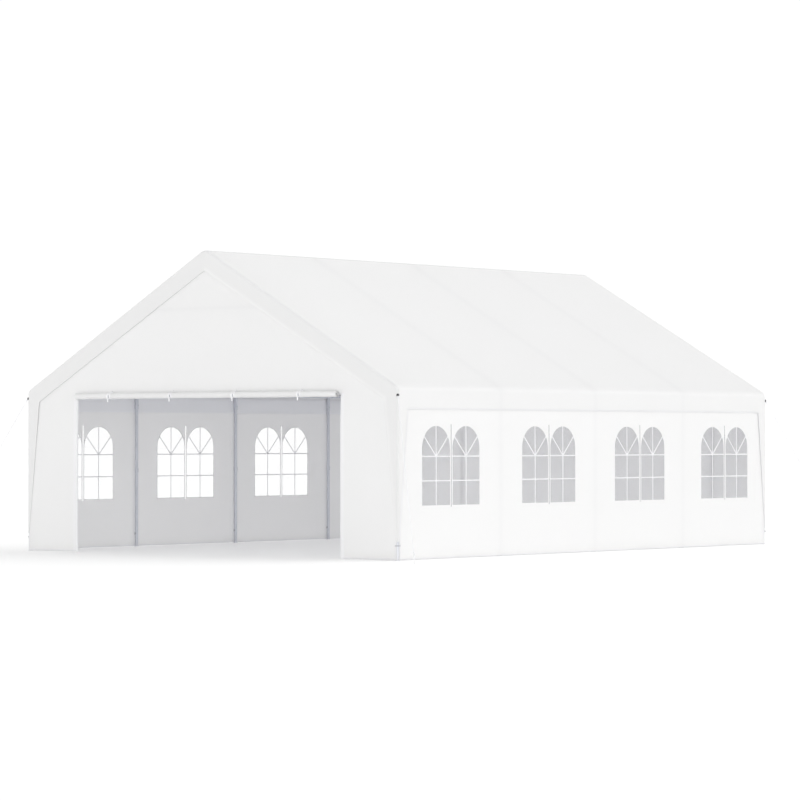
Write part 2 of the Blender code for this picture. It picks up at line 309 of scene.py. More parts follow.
def makeStitchRow():
    # one row of stitches: the vector's X runs along the seam in metres, Y across it from 0 to 1
    inputs = {"Vector": None, "Length": 0.006, "Row": 0.5, "Thickness": 0.05}
    group, given, leave, calc = newGroup("stitchRow", inputs, "Mask")
    place = splitAxes(group, given["Vector"])
    wave = calc("SINE", calc("DIVIDE", calc("MULTIPLY", place["X"], 2 * pi), given["Length"]))
    dash = calc("MULTIPLY_ADD", wave, 2.0, 0.9, clamped=True)
    away = calc("ABSOLUTE", calc("SUBTRACT", place["Y"], given["Row"]))
    near = calc("SUBTRACT", 1.0, calc("DIVIDE", away, given["Thickness"]), clamped=True)
    connect(group, leave, {"Mask": calc("MULTIPLY", dash, near)})
    return group


def makeMetalSkin():
    # zinc spangle with fine drawn lines
    group, given, leave, calc = newGroup("metalSkin", {
        "Vector": None, "Colour": (0.7, 0.7, 0.7), "Spangle": (0.6, 0.6, 0.6), "Scale": 90.0,
        "Gloss": 0.4,
    }, "Colour", "Roughness", "Height")
    cells = {key: given[key] for key in ("Vector", "Scale")}
    grains = addNode(group, "ShaderNodeTexVoronoi", cells).outputs["Color"]
    tone = addNode(group, "ShaderNodeSeparateColor", {0: grains}).outputs
    share = calc("MULTIPLY", tone[0], 0.6)
    connect(group, leave, {
        "Colour": mixColours(group, share, given["Colour"], given["Spangle"]),
        "Roughness": unevenGloss(calc, given["Gloss"], tone[1], 0.18),
        "Height": noiseAt(group, given["Vector"], 240.0, 2.0),
    })
    return group


wovenTape, clothTone, groundTint = makeWovenTape(), makeClothTone(), makeGroundDust()
paintedSoftLine, stitchRow, metalSkin = makeTubeMark(), makeStitchRow(), makeMetalSkin()
mapName = "clothMap"


def coordinates(tree):
    return addNode(tree, "ShaderNodeTexCoord").outputs["Object"]


def clothMap(tree):
    return addNode(tree, "ShaderNodeUVMap", uv_map=mapName).outputs["UV"]


def stitchRows(tree, rows):
    masks = [useGroup(tree, stitchRow, Vector=clothMap(tree), Row=row)["Mask"] for row in rows]
    return mathNode(tree, "ADD", *masks)


def markAt(tree, along, width, spacing=20.0):
    # with a spacing longer than the tent, one line alone
    return useGroup(tree, paintedSoftLine, Along=along, Spacing=spacing, Width=width)["Mask"]


def letThrough(tree, shader, share, colour):
    # mixes in light that comes through from the other side
    through = addNode(tree, "ShaderNodeBsdfTranslucent", {"Color": colour})
    layers = {"Fac": share, 1: shader.outputs[0], 2: through.outputs[0]}
    surface = addNode(tree, "ShaderNodeMixShader", layers).outputs[0]
    connect(tree, tree.nodes["Material Output"], {"Surface": surface})


# Cloth finishes: light passes through one layer, and much less through two

clothFinish = {     # colour, share of light let through, width of the woven tapes, darkening towards the ground
    "roofCloth": ((0.930, 0.929, 0.9165), 0.249, 0.0030, 0.0),
    "wallCloth": ((0.930, 0.929, 0.9165), 0.246, 0.0025, 0.12),
    # rearCloth: painted shade, a darker copy of the wall cloth for the sunlit rear gable and its
    # door, letting more light through
    "rearCloth": ((0.905, 0.904, 0.892), 0.305, 0.0025, 0.12),
    "doorCloth": ((0.938, 0.937, 0.928), 0.252, 0.0025, 0.05),
    # edgeCloth: painted shade, a darker and nearly opaque copy of the roof cloth for the skirt over
    # the gables and the strip along the ridge
    "edgeCloth": ((0.832, 0.832, 0.829), 0.08, 0.0030, 0.0),
    # rimCloth: painted light, a lighter copy of the roof cloth for the curve of the right-hand rake
    "rimCloth": ((0.938, 0.937, 0.931), 0.19, 0.0030, 0.0),
    # flapCloth: painted shade, a darker copy of the roof cloth for the front gable's right-hand
    # skirt and corner flap, with painted light beside its free edge
    "flapCloth": ((0.838, 0.838, 0.835), 0.08, 0.0030, 0.0),
    # hemCloth: painted light, lighter than the sheets it edges, to lift the shade of the folded
    # layers and of the ground below
    "hemCloth": ((0.956, 0.955, 0.948), 0.42, 0.0020, 0.10),
}

cloth = {
    "shade": (0.83, 0.83, 0.83),
    "lightThrough": (0.931, 0.932, 0.968),
    "roofShadowWidth": 0.145,       # width of the painted tube shadows over the trusses
    "wallShadowWidth": 0.075,       # over the posts
    "eave": 1.99,            # the height from which the first one counts
    "collarShadowWidth": 0.040,     # and over the gable trusses' collars
    "tubeShadowTone": 0.20,
    "freeEdge": (0.884, 0.884, 0.880),      # painted light: flapCloth made lighter beside its free edge, and how far in
    "freeEdgeWidth": 0.060,
    "headerLightColour": (0.972, 0.978, 0.992),        # painted light: wallCloth's top strip behind the valance, lighter and bluer where the valance shades it
    "mottle": 0.18,
    "gloss": 0.46,
    "specular": 0.25,
    "weave": (0.25, 0.00035),               # strength and depth of the bumps
    "stitches": (0.8, 0.0008),
    "stitchRows": (0.22, 0.78),             # places across the hem
}


def paintedTubeShadows(tree, place, name):
    # painted shade: darker soft lines where roof or walls lie on the steel frame, for the tubes
    # blocking the light that comes through the cloth
    calc, axes = partial(mathNode, tree), splitAxes(tree, place)
    away = calc("ABSOLUTE", axes["Y"])
    onRoof = calc("GREATER_THAN", axes["Z"], cloth["eave"])
    wider = cloth["roofShadowWidth"] - cloth["wallShadowWidth"]
    width = calc("MULTIPLY_ADD", onRoof, wider, cloth["wallShadowWidth"])
    rows = markAt(tree, axes["Y"], width, bayLength)
    marks = calc("MULTIPLY", rows, calc("LESS_THAN", away, endY - 0.3))
    if name != "roofCloth":
        above = calc("SUBTRACT", axes["Z"], steel["collarZ"])
        onGable = calc("GREATER_THAN", away, endY)
        collar = calc("MULTIPLY", markAt(tree, above, cloth["collarShadowWidth"]), onGable)
        marks = calc("ADD", marks, collar)
    return calc("MULTIPLY", marks, cloth["tubeShadowTone"])


def paintedFreeEdgeLight(tree, place):
    # painted light beside the free edge of the cover's skirt and corner flap
    knee, apex = roof["bandKnee"], (0.0, roof["bandApex"])
    foot, beyond = (coverHigh.x - roof["flapLowWidth"], coverLow.z), []
    for start, end in ((knee, apex), (foot, knee)):
        along = (Vector(end) - Vector(start)).normalized()
        across = vec(along.y, 0.0, -along.x)
        line = across.dot(vec(start[0], 0.0, start[1]))
        inputs = {0: place, 1: across}
        reach = addNode(tree, "ShaderNodeVectorMath", inputs, operation="DOT_PRODUCT")
        beyond.append(mathNode(tree, "SUBTRACT", reach.outputs["Value"], line))
    return markAt(tree, mathNode(tree, "MAXIMUM", *beyond), cloth["freeEdgeWidth"])


def paintedHeaderLight(tree, place):
    # painted light on the top strip of the long walls, behind the valance
    calc, axes = partial(mathNode, tree), splitAxes(tree, place)
    high = calc("GREATER_THAN", axes["Z"], roof["valanceLow"])
    return calc("MULTIPLY", high, calc("GREATER_THAN", calc("ABSOLUTE", axes["X"]), postX))


def makeCloth(name):
    colour, through, tape, lowTint = clothFinish[name]
    material, tree, shader = newMaterial(name)
    place = coordinates(tree)
    tone = useGroup(
        tree, clothTone, Vector=place, Colour=colour, Shade=cloth["shade"],
        Amount=cloth["mottle"], Gloss=cloth["gloss"],
    )
    seen = useGroup(tree, groundTint, Vector=place, Colour=tone["Colour"], Amount=lowTint)["Colour"]
    weave = useGroup(tree, wovenTape, Vector=clothMap(tree), Width=tape)["Height"]
    normal = bumpFrom(tree, weave, *cloth["weave"])
    if name == "hemCloth":
        rows = stitchRows(tree, cloth["stitchRows"])
        normal = bumpFrom(tree, rows, *cloth["stitches"], Normal=normal)
    # painted shade: the frame's tubes seen as darker lines through roof and walls
    if name in ("roofCloth", "wallCloth", "rearCloth"):
        seen = mixColours(tree, paintedTubeShadows(tree, place, name), seen, cloth["shade"])
    # painted light beside the flap's free edge
    if name == "flapCloth":
        seen = mixColours(tree, paintedFreeEdgeLight(tree, place), seen, cloth["freeEdge"])
    # painted light on the wall's top strip behind the valance
    if name == "wallCloth":
        seen = mixColours(tree, paintedHeaderLight(tree, place), seen, cloth["headerLightColour"])
    connect(tree, shader, {
        "Base Color": seen, "Roughness": tone["Roughness"], "Normal": normal,
        "Specular IOR Level": cloth["specular"],
    })
    letThrough(tree, shader, through, cloth["lightThrough"])
    return material


film = {
    "colour": (0.45, 0.46, 0.48),
    "shade": (0.40, 0.41, 0.44),
    "mottle": 0.4,
    "cover": 0.03,
    "gloss": 0.15,
    "waves": (0.3, 0.002),      # strength and depth of the bumps
    "milk": 0.14,               # how much of the light is spread on its way through
    "milkColour": (0.985, 0.985, 0.990),
}


def makeClearFilm():
    material, tree, shader = newMaterial("clearFilm")
    place = coordinates(tree)
    tone = useGroup(
        tree, clothTone, Vector=place, Colour=film["colour"], Shade=film["shade"],
        Amount=film["mottle"], Gloss=film["gloss"],
    )
    waves = bumpFrom(tree, noiseAt(tree, place, 5.0, 2.0), *film["waves"])
    connect(tree, shader, {
        "Base Color": tone["Colour"], "Roughness": tone["Roughness"], "Alpha": film["cover"],
        "Normal": waves,
    })
    letThrough(tree, shader, film["milk"], film["milkColour"])
    return material


metalFinish = {     # colour, spangle, gloss, how metallic
    "tubeSteel": ((0.650, 0.664, 0.722), (0.598, 0.616, 0.680), 0.38, 0.12),
    # footSteel: painted light, a lighter copy of the tube steel for the corner posts and the feet
    "footSteel": ((0.795, 0.805, 0.850), (0.745, 0.760, 0.815), 0.38, 0.12),
    "boltZinc": ((0.54, 0.55, 0.58), (0.46, 0.47, 0.50), 0.36, 0.30),
    "pegSteel": ((0.90, 0.905, 0.915), (0.82, 0.825, 0.84), 0.42, 0.12),
}
metal = {"spangleScale": 85.0, "grain": (0.3, 0.00012), "lowTintReach": 0.15, "lowTint": 0.3}


def makeMetal(name):
    colour, spangle, gloss, metallic = metalFinish[name]
    material, tree, shader = newMaterial(name)
    place = coordinates(tree)
    skin = useGroup(
        tree, metalSkin, Vector=place, Colour=colour, Spangle=spangle,
        Scale=metal["spangleScale"], Gloss=gloss,
    )
    lowTinted = useGroup(
        tree, groundTint, Vector=place, Colour=skin["Colour"], Reach=metal["lowTintReach"],
        Amount=metal["lowTint"],
    )
    connect(tree, shader, {
        "Base Color": lowTinted["Colour"], "Roughness": skin["Roughness"], "Metallic": metallic,
        "Normal": bumpFrom(tree, skin["Height"], *metal["grain"]),
    })
    return material


trimFinish = {      # colour, shade, gloss, width of the woven tapes, share of light let through
    "barVinyl": ((0.92, 0.92, 0.925), (0.85, 0.85, 0.86), 0.35, 0.0015, 0.20),
    "ropeNylon": ((0.985, 0.985, 0.985), (0.92, 0.92, 0.92), 0.6, 0.0008, 0.45),
    "strapWeb": ((0.975, 0.975, 0.990), (0.93, 0.93, 0.955), 0.65, 0.0012, 0.0),
    "zipTape": ((0.965, 0.965, 0.968), (0.90, 0.90, 0.91), 0.7, 0.0010, 0.15),
    "blackPlastic": ((0.030, 0.030, 0.033), (0.055, 0.055, 0.060), 0.4, 0.0040, 0.0),
}
trim = {"mottle": 0.8, "weave": (0.4, 0.0003), "stitchRows": (0.12, 0.88)}


def makeTrim(name):
    colour, shade, gloss, tape, through = trimFinish[name]
    material, tree, shader = newMaterial(name)
    tone = useGroup(
        tree, clothTone, Vector=coordinates(tree), Colour=colour, Shade=shade,
        Amount=trim["mottle"], Gloss=gloss,
    )
    height = useGroup(tree, wovenTape, Vector=clothMap(tree), Width=tape)["Height"]
    if name == "zipTape":
        height = mathNode(tree, "ADD", height, stitchRows(tree, trim["stitchRows"]))
    connect(tree, shader, {
        "Base Color": tone["Colour"], "Roughness": tone["Roughness"],
        "Normal": bumpFrom(tree, height, *trim["weave"]),
    })
    if through:
        letThrough(tree, shader, through, cloth["lightThrough"])
    return material


# Mesh building

def sheetMesh(points, faces, flat):
    mesh = bpy.data.meshes.new("sheet")
    mesh.from_pydata([tuple(p) for p in points], [], faces)
    layer = mesh.uv_layers.new(name=mapName)
    for loop in mesh.loops:
        layer.data[loop.index].uv = flat[loop.vertex_index]
    mesh.update()
    return mesh


def edited(mesh, change):
    bm = bmesh.new()
    bm.from_mesh(mesh)
    change(bm)
    bm.to_mesh(mesh)
    bm.free()
    return mesh


def outwards(mesh):
    return edited(mesh, lambda bm: bmesh.ops.recalc_face_normals(bm, faces=bm.faces))


def dropLoose(mesh):
    return edited(mesh, lambda bm: bmesh.ops.delete(
        bm, geom=[v for v in bm.verts if not v.link_faces], context="VERTS"))


def thickened(mesh, thickness):
    # the sheet with its back and its edges closed, inwards from its outer face
    helper = addObject("helper", mesh)
    solid = helper.modifiers.new("solid", "SOLIDIFY")
    solid.thickness, solid.offset = thickness, -1
    shown = helper.evaluated_get(bpy.context.evaluated_depsgraph_get())
    result = bpy.data.meshes.new_from_object(shown)
    bpy.data.objects.remove(helper)
    return result


def addPiece(name, parts, materials, replaces=(), sharp=32.0):
    # one piece from parts, each a shell with the number of its material
    bm = bmesh.new()
    bm.loops.layers.uv.new(mapName)
    for part, number in parts:
        count = len(bm.faces)
        bm.from_mesh(part)
        bm.faces.ensure_lookup_table()
        for face in bm.faces[count:]:
            face.material_index = number
    mesh = bpy.data.meshes.new(name)
    bm.to_mesh(mesh)
    bm.free()
    for material in materials:
        mesh.materials.append(finishes[material])
    mesh.shade_smooth()
    mesh.set_sharp_from_angle(angle=radians(sharp))
    piece = addObject(name, mesh)
    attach(piece, "root")
    if replaces:
        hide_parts(*replaces)
    return piece


def areaOf(mesh):
    return sum(p.area for p in mesh.polygons)


def gridFaces(points, wide):
    # four-sided faces between rows of so many points
    return [(i, i + wide, i + wide + 1, i + 1) for i in range(len(points) - wide) if (i + 1) % wide]


def turnedOver(faces):
    return [(a, d, c, b) for a, b, c, d in faces]


def wrapMesh(points, flat, sides, closed=False):
    # rows of points round a strip or tube, with capped ends or closed to a ring
    count, faces = len(points) // sides, []
    for i in range(count if closed else count - 1):
        a, b = i * sides, (i + 1) % count * sides
        faces += [(a + k, a + j, b + j, b + k) for k, j in pairs(list(range(sides)))]
    if not closed:
        faces += [tuple(reversed(range(sides))), tuple(range(len(points) - sides, len(points)))]
    return outwards(sheetMesh(points, faces, flat))


stripCorners = ((-1, 0), (1, 0), (1, 1), (-1, 1))     # towards the edge, and off the cloth


def stripMesh(path, width, thickness, spread, normal=None):
    # a flat strip along a path, with its width along X; spread is half its width on the map
    points, flat, run = [], [], 0.0
    for i, here in enumerate(path):
        along = path[min(i + 1, len(path) - 1)] - path[max(i - 1, 0)]
        out = normal or along.normalized().cross(sideways).normalized()
        run += (here - path[i - 1]).length if i else 0.0
        for edge, level in stripCorners:
            points.append(here + sideways * (edge * width / 2) + out * (level * thickness))
            flat.append((run, 0.5 + edge * spread))
    return wrapMesh(points, flat, 4)


def tubeMesh(stations, sides, across=None):
    # a tube through (point, radius) stations, closed at both ends
    points = [Vector(point) for point, _ in stations]
    rings, flat, run = [], [], 0.0
    for i, (point, (_, radius)) in enumerate(zip(points, stations)):
        behind = next((p for p in reversed(points[:i]) if (p - point).length > 1e-7), None)
        ahead = next((p for p in points[i + 1:] if (p - point).length > 1e-7), None)
        into = (point - behind).normalized() if behind else (ahead - point).normalized()
        out = (ahead - point).normalized() if ahead else into
        along = (into + out).normalized()
        across = across or along.orthogonal().normalized()
        across = (across - along * across.dot(along)).normalized()
        wide = along.cross(across)
        run += (point - points[i - 1]).length if i else 0.0
        for k in range(sides):
            turn = 2 * pi * k / sides
            rings.append(point + (across * cos(turn) + wide * sin(turn)) * radius)
            flat.append((run, k / sides * 0.12))
    return wrapMesh(rings, flat, sides)


def ringMesh(centre, first, second, radius, wire, count, sides):
    # a round ring in the plane of two directions
    turns = [2 * pi * i / count for i in range(count + 1)]
    stations = [(centre + (first * cos(t) + second * sin(t)) * radius, wire) for t in turns]
    return tubeMesh(stations, sides, second.cross(first))


def turnedForm(profile, start, along, sides):
    # a lathe form: (distance along, radius) rows about an axis
    return tubeMesh([(start + along * step, radius) for step, radius in profile], sides)


def roundedBox(centre, half, bevel):
    bm = bmesh.new()
    bmesh.ops.create_cube(bm, size=2.0)
    for vert in bm.verts:
        vert.co = centre + vert.co * Vector(half)
    bmesh.ops.bevel(bm, geom=bm.edges[:], offset=bevel, segments=2, affect="EDGES", profile=0.5)
    bm.loops.layers.uv.new(mapName)
    mesh = bpy.data.meshes.new("block")
    bm.to_mesh(mesh)
    bm.free()
    return mesh


def loopsOf(mesh):
    # the sheet's edges as closed rows of (point, normal, direction into the sheet)
    bm = bmesh.new()
    bm.from_mesh(mesh)
    bm.normal_update()
    seen, loops = set(), []
    for edge in bm.edges:
        if not edge.is_boundary or edge in seen:
            continue
        row, vert, marks = [edge.verts[0]], edge.verts[1], []
        seen.add(edge)
        while vert is not row[0]:
            row.append(vert)
            onward = [e for e in vert.link_edges if e.is_boundary and e not in seen]
            if not onward:
                break
            seen.add(onward[0])
            vert = onward[0].other_vert(vert)
        for i, here in enumerate(row):
            along = (row[(i + 1) % len(row)].co - row[i - 1].co).normalized()
            centre = sum((f.calc_center_median() for f in here.link_faces), Vector())
            inward = centre / len(here.link_faces) - here.co
            inward -= along * inward.dot(along)
            inward -= here.normal * inward.dot(here.normal)
            marks.append((here.co.copy(), here.normal.copy(), inward.normalized()))
        loops.append(marks)
    bm.free()
    return loops


hem = {"width": 0.022, "rise": 0.0008, "over": 0.0004, "longestHole": 4.0}


def hemsAlong(mesh, thickness):
    # the folded or welded edge of a sheet, as a closed strip around each of its edges
    tree = BVHTree.FromPolygons([v.co for v in mesh.vertices], [p.vertices for p in mesh.polygons])
    rise, hems = hem["rise"], []
    for marks in loopsOf(mesh):
        if sum((a[0] - b[0]).length for a, b in pairs(marks)) < hem["longestHole"]:
            continue
        points, flat, run = [], [], 0.0
        for i, (here, normal, inward) in enumerate(marks):
            run += (here - marks[i - 1][0]).length if i else 0.0
            inner = tree.find_nearest(here + inward * hem["width"])[0]
            edge = here - inward * hem["over"]
            points += [edge + normal * rise, inner + normal * rise * 0.5]
            points.append(inner - normal * (thickness + rise * 0.5))
            points.append(edge - normal * (thickness + rise))
            flat += [(run, 0.0), (run, 1.0), (run, 1.0), (run, 0.0)]
        hems.append((wrapMesh(points, flat, 4, closed=True), 1))
    return hems


def clothPiece(name, sheet, thickness, finish, node, sewnOn=(), more=()):
    # a hemmed sheet with what is sewn to it, and its area
    parts = [(thickened(sheet, thickness), 0), *hemsAlong(sheet, thickness), *sewnOn]
    materials = [finish, "hemCloth", "zipTape", *more]
    return addPiece(name, parts, materials, [node], sharp=35.0), areaOf(sheet)


# Roof cover: one sheet over ridge and eaves, down the gables and down the corners

roof = {
    "pitch": radians(29.75),
    "kneeRadius": 0.0853,
    "ridgeRadius": 0.1653,
    "edgeRadius": 0.0253,   # down the corners
    "rakeRadius": 0.034,    # along the gable's slopes, where the cloth sits looser
    "rakePuff": 0.001,
    "thickness": 0.0025,
    "skirt": 0.213,         # what the skirt adds to the sheet's length at each gable
    "valanceLow": 1.757,
    "bandApex": 3.455,
    "bandKnee": (2.775, 1.88),
    "bandRadii": (0.03, 0.05),
    "flapTopWidth": 0.20,
    "flapLowWidth": 0.032,
    "freeLift": 0.0072,     # how far the gable skirt and the corner flaps stand off the walls
    "footLift": 0.0020,
    "closer": 0.68,         # how much nearer they lie on the right of the front gable
    "closerFrom": 0.8,      # the width over which that starts
    "valanceLift": 0.0034,
    "sag": 0.010,           # between two trusses
    "wave": 0.0016,
    "waveForm": (0.41, 7.7),        # a ripple's size and seed
    "crease": 0.0012,
    "creaseForm": (0.34, 3.1),
    "leastLift": 0.001,
    "restOnTube": 0.02,
    "edgeShadeReach": (0.024, 0.002),   # left and right: how far the darker edge cloth, painted shade, reaches in
    "ridgeStrip": 0.075,            # and to each side of the ridge, painted shade there too
}

roofRows = {"flap": 18, "valance": 5, "knee": 9, "slope": 46, "ridge": 7}
roofRings = {"band": 6, "edge": 6, "flap": 5, "bay": 26}
flapRows, lowRows = roofRows["flap"], roofRows["flap"] + roofRows["valance"]


def bentHalf(foot, knee, apex, kneeRadius, apexRadius):
    # the right half of a gable-shaped line, from its foot to the middle of the ridge
    foot, knee, apex = Vector(foot), Vector(knee), Vector(apex)
    down, up = (foot - knee).normalized(), (apex - knee).normalized()
    half = down.angle(up) / 2
    start, end = (knee + way * (kneeRadius / tan(half)) for way in (down, up))
    centre = knee + (down + up).normalized() * (kneeRadius / sin(half))
    first, last = (atan2(p.y - centre.y, p.x - centre.x) for p in (start, end))
    lean = atan2(up.y, -up.x)
    low, split = foot.y, roof["valanceLow"]
    heights = steps(low, split, flapRows) + steps(split, start.y, roofRows["valance"])
    line = [foot + (start - foot) * ((z - low) / (start.y - low)) for z in heights]
    bend = arcPoints(*centre, kneeRadius, first, last - first, roofRows["knee"])
    top = apex.y - apexRadius / cos(lean)
    ridge = arcPoints(0.0, top, apexRadius, pi / 2 - lean, lean, roofRows["ridge"])
    slope = steps(end, Vector(ridge[0]), roofRows["slope"])[1:]
    return [Vector(p) for p in line + bend + slope + ridge]


def coverHalf(inset):
    # the cover's section, a distance inside its outer face
    pitch, ridge = roof["pitch"], roof["ridgeRadius"] - inset
    x, peak = coverHigh.x - inset, ridgeTop - inset + ridge * (1 / cos(pitch) - 1)
    knee = (x, peak - x * tan(pitch))
    return bentHalf((x, coverLow.z), knee, (0, peak), roof["kneeRadius"] - inset, ridge)


def roofStations():
    # places along the roof between the two corner flaps, closer together beside each truss
    rest, limit = roof["restOnTube"], coverHigh.y - roof["flapTopWidth"] - 0.03
    stations = []
    for start in rowY[:-1]:
        end = start + bayLength - rest
        stations += [start, *steps(start + rest, end, roofRings["bay"]), end]
    return [y for y in stations if abs(y) < limit]


def flapShare(z):
    return clamp((z - coverLow.z) / (roof["valanceLow"] - coverLow.z))


def coverEnd(half, hangs):
    # one end of the cover, from the skirt's edge inwards, as rows of (x, y, z, hang): hang is how
    # free a point is, or below nought how far it is pushed out
    face, edge, rake = coverHigh.y, roof["edgeRadius"], roof["rakeRadius"]
    shares = [clamp((i - lowRows) / roofRows["knee"]) for i in range(len(half))]
    radii = [blend(edge, rake, share) for share in shares]

    def section(closeness):
        # the cover's section a share of the edge's radius inside it
        return map(blend, coverHalf(edge * closeness), coverHalf(rake * closeness), shares)

    foot = (coverHigh.x - roof["flapLowWidth"], coverLow.z)
    inner = bentHalf(foot, roof["bandKnee"], (0, roof["bandApex"]), *roof["bandRadii"])
    rings = []
    for share in steps(0.0, 1.0, roofRings["band"]):
        row = [blend(a, b, share) for a, b in zip(inner, section(1.0))]
        rings.append([(p.x, face, p.y, 1 - share) for p in row])
    for step in range(roofRings["edge"] + 1):
        turn = pi / 2 * step / roofRings["edge"]
        puff, deep = -roof["rakePuff"] * sin(2 * turn), 1 - cos(turn)
        row = zip(section(1 - sin(turn)), radii, shares)
        rings.append([(p.x, face - radius * deep, p.y, puff * share) for p, radius, share in row])
    for step in range(1, roofRings["flap"] + 1):
        share, ring = step / roofRings["flap"], []
        for p, radius, hang in zip(half, radii, hangs):
            width = blend(roof["flapLowWidth"], roof["flapTopWidth"], flapShare(p.y))
            ring.append((p.x, face - blend(radius, width, share), p.y, hang * share))
        rings.append(ring)
    return rings


def bayShare(y):
    return (y - rowY[0]) / bayLength % 1.0


def hangLift(x, y, z):
    if abs(x) > coverHigh.x - 0.01 and abs(y) < coverHigh.y - roof["flapTopWidth"] - 0.01:
        return roof["valanceLift"]
    right = clamp(x / roof["closerFrom"] + 0.5) if y < 0 else 0.0
    return blend(roof["footLift"], roof["freeLift"], flapShare(z)) * (1 - right * roof["closer"])


def roofOffset(x, y, z, hang, slopeShare):
    # how far a point of the cover stands out from its plain form
    rest = roof["restOnTube"] / bayLength
    part = clamp((bayShare(y) - rest) / (1 - 2 * rest))
    out = 0.0
    if abs(y) < endY and 0 < slopeShare < 1:
        between = 4 * part * (1 - part) * sin(pi * slopeShare) ** 0.7
        out = (roof["crease"] * ripple(y, x, *roof["creaseForm"]) - roof["sag"]) * between
    if hang > 0:
        edge = hangLift(x, y, z) + roof["wave"] * ripple(y + x, z, *roof["waveForm"])
        out += hang * max(edge, roof["leastLift"])
    return out - min(hang, 0.0)


def makeRoofCover():
    half, lengths = coverHalf(0.0), [0.0]
    for a, b in zip(half, half[1:]):
        lengths.append(lengths[-1] + (b - a).length)
    count, kneeEnd = len(half), lowRows + roofRows["knee"]
    hangs = [clamp((lowRows - i) / roofRows["valance"]) for i in range(count)]
    end = coverEnd(half, hangs)
    rings = [[(x, -y, z, hang) for x, y, z, hang in ring] for ring in end]
    rings += [[(p.x, y, p.y, hang) for p, hang in zip(half, hangs)] for y in roofStations()]
    rings += reversed(end)
    points, flat, offsets, run = [], [], [], 0.0
    for j, ring in enumerate(rings):
        run += dist(rings[j - 1][count // 2][:3], ring[count // 2][:3]) if j else 0.0
        for side, order in ((1, range(count)), (-1, range(count - 2, -1, -1))):
            for i in order:
                x, y, z, hang = ring[i]
                points.append((side * x, y, z))
                flat.append((run, side * (lengths[-1] - lengths[i])))
                share = (i - kneeEnd) / roofRows["slope"]
                offsets.append(roofOffset(side * x, y, z, hang, share))
    wide, middle = 2 * count - 1, range(len(end) - 1, len(rings) - len(end))
    shown = range(flapRows, wide - 1 - flapRows)    # between the corners, from valance to valance
    faces = [face for face in gridFaces(points, wide)
             if face[0] // wide not in middle or face[0] % wide in shown]
    mesh = sheetMesh(points, faces, flat)
    for vert, normal, out in zip(mesh.vertices, [v.normal.copy() for v in mesh.vertices], offsets):
        vert.co += normal * out
    piece, area = clothPiece(
        "roofCover", dropLoose(mesh), roof["thickness"], "roofCloth",
        "roof_cover", more=("edgeCloth", "rimCloth", "flapCloth"),
    )
    for face in piece.data.polygons:
        x, y, z = face.center
        deep = coverHigh.y - abs(y)
        # painted shade on the gable skirts, the corner flaps and the ridge strip
        if deep < roof["edgeShadeReach"][x > 0]:
            face.material_index = 5 if x > 0 and y < 0 else 3
        # painted light on the curve of the right-hand rake
        elif face.material_index == 0 and x > 0 and z > cloth["eave"] and deep < roof["rakeRadius"]:
            face.material_index = 4
        elif face.material_index == 0 and abs(x) < roof["ridgeStrip"]:
            face.material_index = 3


# Walls

wall = {
    "thickness": 0.002,
    "spacing": 0.062,
    "belly": 0.0055,        # how far a wall bellies out between two posts
    "fold": 0.0022,
    "foldForm": (0.23, 1.7),
    "hemFlutter": 0.0028,
    "flutterHeight": 0.4,
    "flutterForm": (0.31, 5.3),
    "creaseTop": (3.794, 1.45),     # (y, z) of a crease down each end
    "creaseFoot": (3.681, 0.05),
    "crease": 0.0016,
    "creaseWidth": 0.034,
    "creaseRows": 34,
    "creaseSteps": (-2.2, -1.2, -0.5, 0.0, 0.5, 1.2, 2.2),      # points across it, in widths
    "cornerReach": 0.011,   # a gable wall's edge comes this much nearer to the corner
    "drop": 0.0080,         # and every wall's this much nearer to the ground than its solid
}
wallFoot = hemZ - wall["drop"]


def inside(x, z, outline):
    found = False
    for (ax, az), (bx, bz) in pairs(outline):
        if (az > z) != (bz > z) and x < (bx - ax) * (z - az) / (bz - az) + ax:
            found = not found
    return found


def divided(outline, step):
    line = []
    for (ax, az), (bx, bz) in pairs(outline):
        count = max(1, ceil(hypot(bx - ax, bz - az) / step))
        line += zip(steps(ax, bx, count), steps(az, bz, count))
    return line


def distanceFrom(points):
    tree = KDTree(len(points))
    for i, (x, z) in enumerate(points):
        tree.insert((x, z, 0), i)
    tree.balance()
    return lambda x, z: tree.find((x, z, 0))[2]


def uprightSheet(outline, holes, step, place, extra=()):
    # triangles over a flat outline with holes, each point then put in its place
    loops = [divided(loop, step) for loop in [outline, *holes]]
    border = [p for loop in loops for p in loop]
    fromBorder = distanceFrom(border)
    fromExtra = distanceFrom(extra) if extra else lambda x, z: step
    (lowX, highX), (lowZ, highZ) = ((min(row), max(row)) for row in zip(*outline))
    field = list(extra)
    for j in range(1, int((highZ - lowZ) / (step * 0.87)) + 1):
        for i in range(int((highX - lowX) / step) + 1):
            x, z = lowX + step * (i + 0.5 * (j % 2)), lowZ + step * 0.87 * j
            if fromBorder(x, z) > 0.55 * step and fromExtra(x, z) > 0.5 * step:
                field.append((x, z))

    def within(x, z):
        return inside(x, z, outline) and not any(inside(x, z, hole) for hole in holes)

    edges = []
    for loop in loops:
        start = len(edges)
        edges += [(start + i, start + j) for i, j in pairs(list(range(len(loop))))]
    points = [Vector(p) for p in border + [p for p in field if within(*p)]]
    verts, _, faces, *_ = delaunay_2d_cdt(points, edges, [], 0, 1e-6)
    kept = [face for face in faces
            if within(*(sum(verts[i][k] for i in face) / len(face) for k in (0, 1)))]
    world = [place(*p) for p in verts]
    mesh = sheetMesh(world, kept, verts)
    middle = sum(world, Vector()) / len(world)
    facing = sum((p.normal * p.area for p in mesh.polygons), Vector())
    if facing.dot(vec(middle.x, middle.y, 0)) < 0:
        mesh.flip_normals()
    return dropLoose(mesh)


def creaseAt(share):
    return [blend(foot, top, share) for foot, top in zip(wall["creaseFoot"], wall["creaseTop"])]


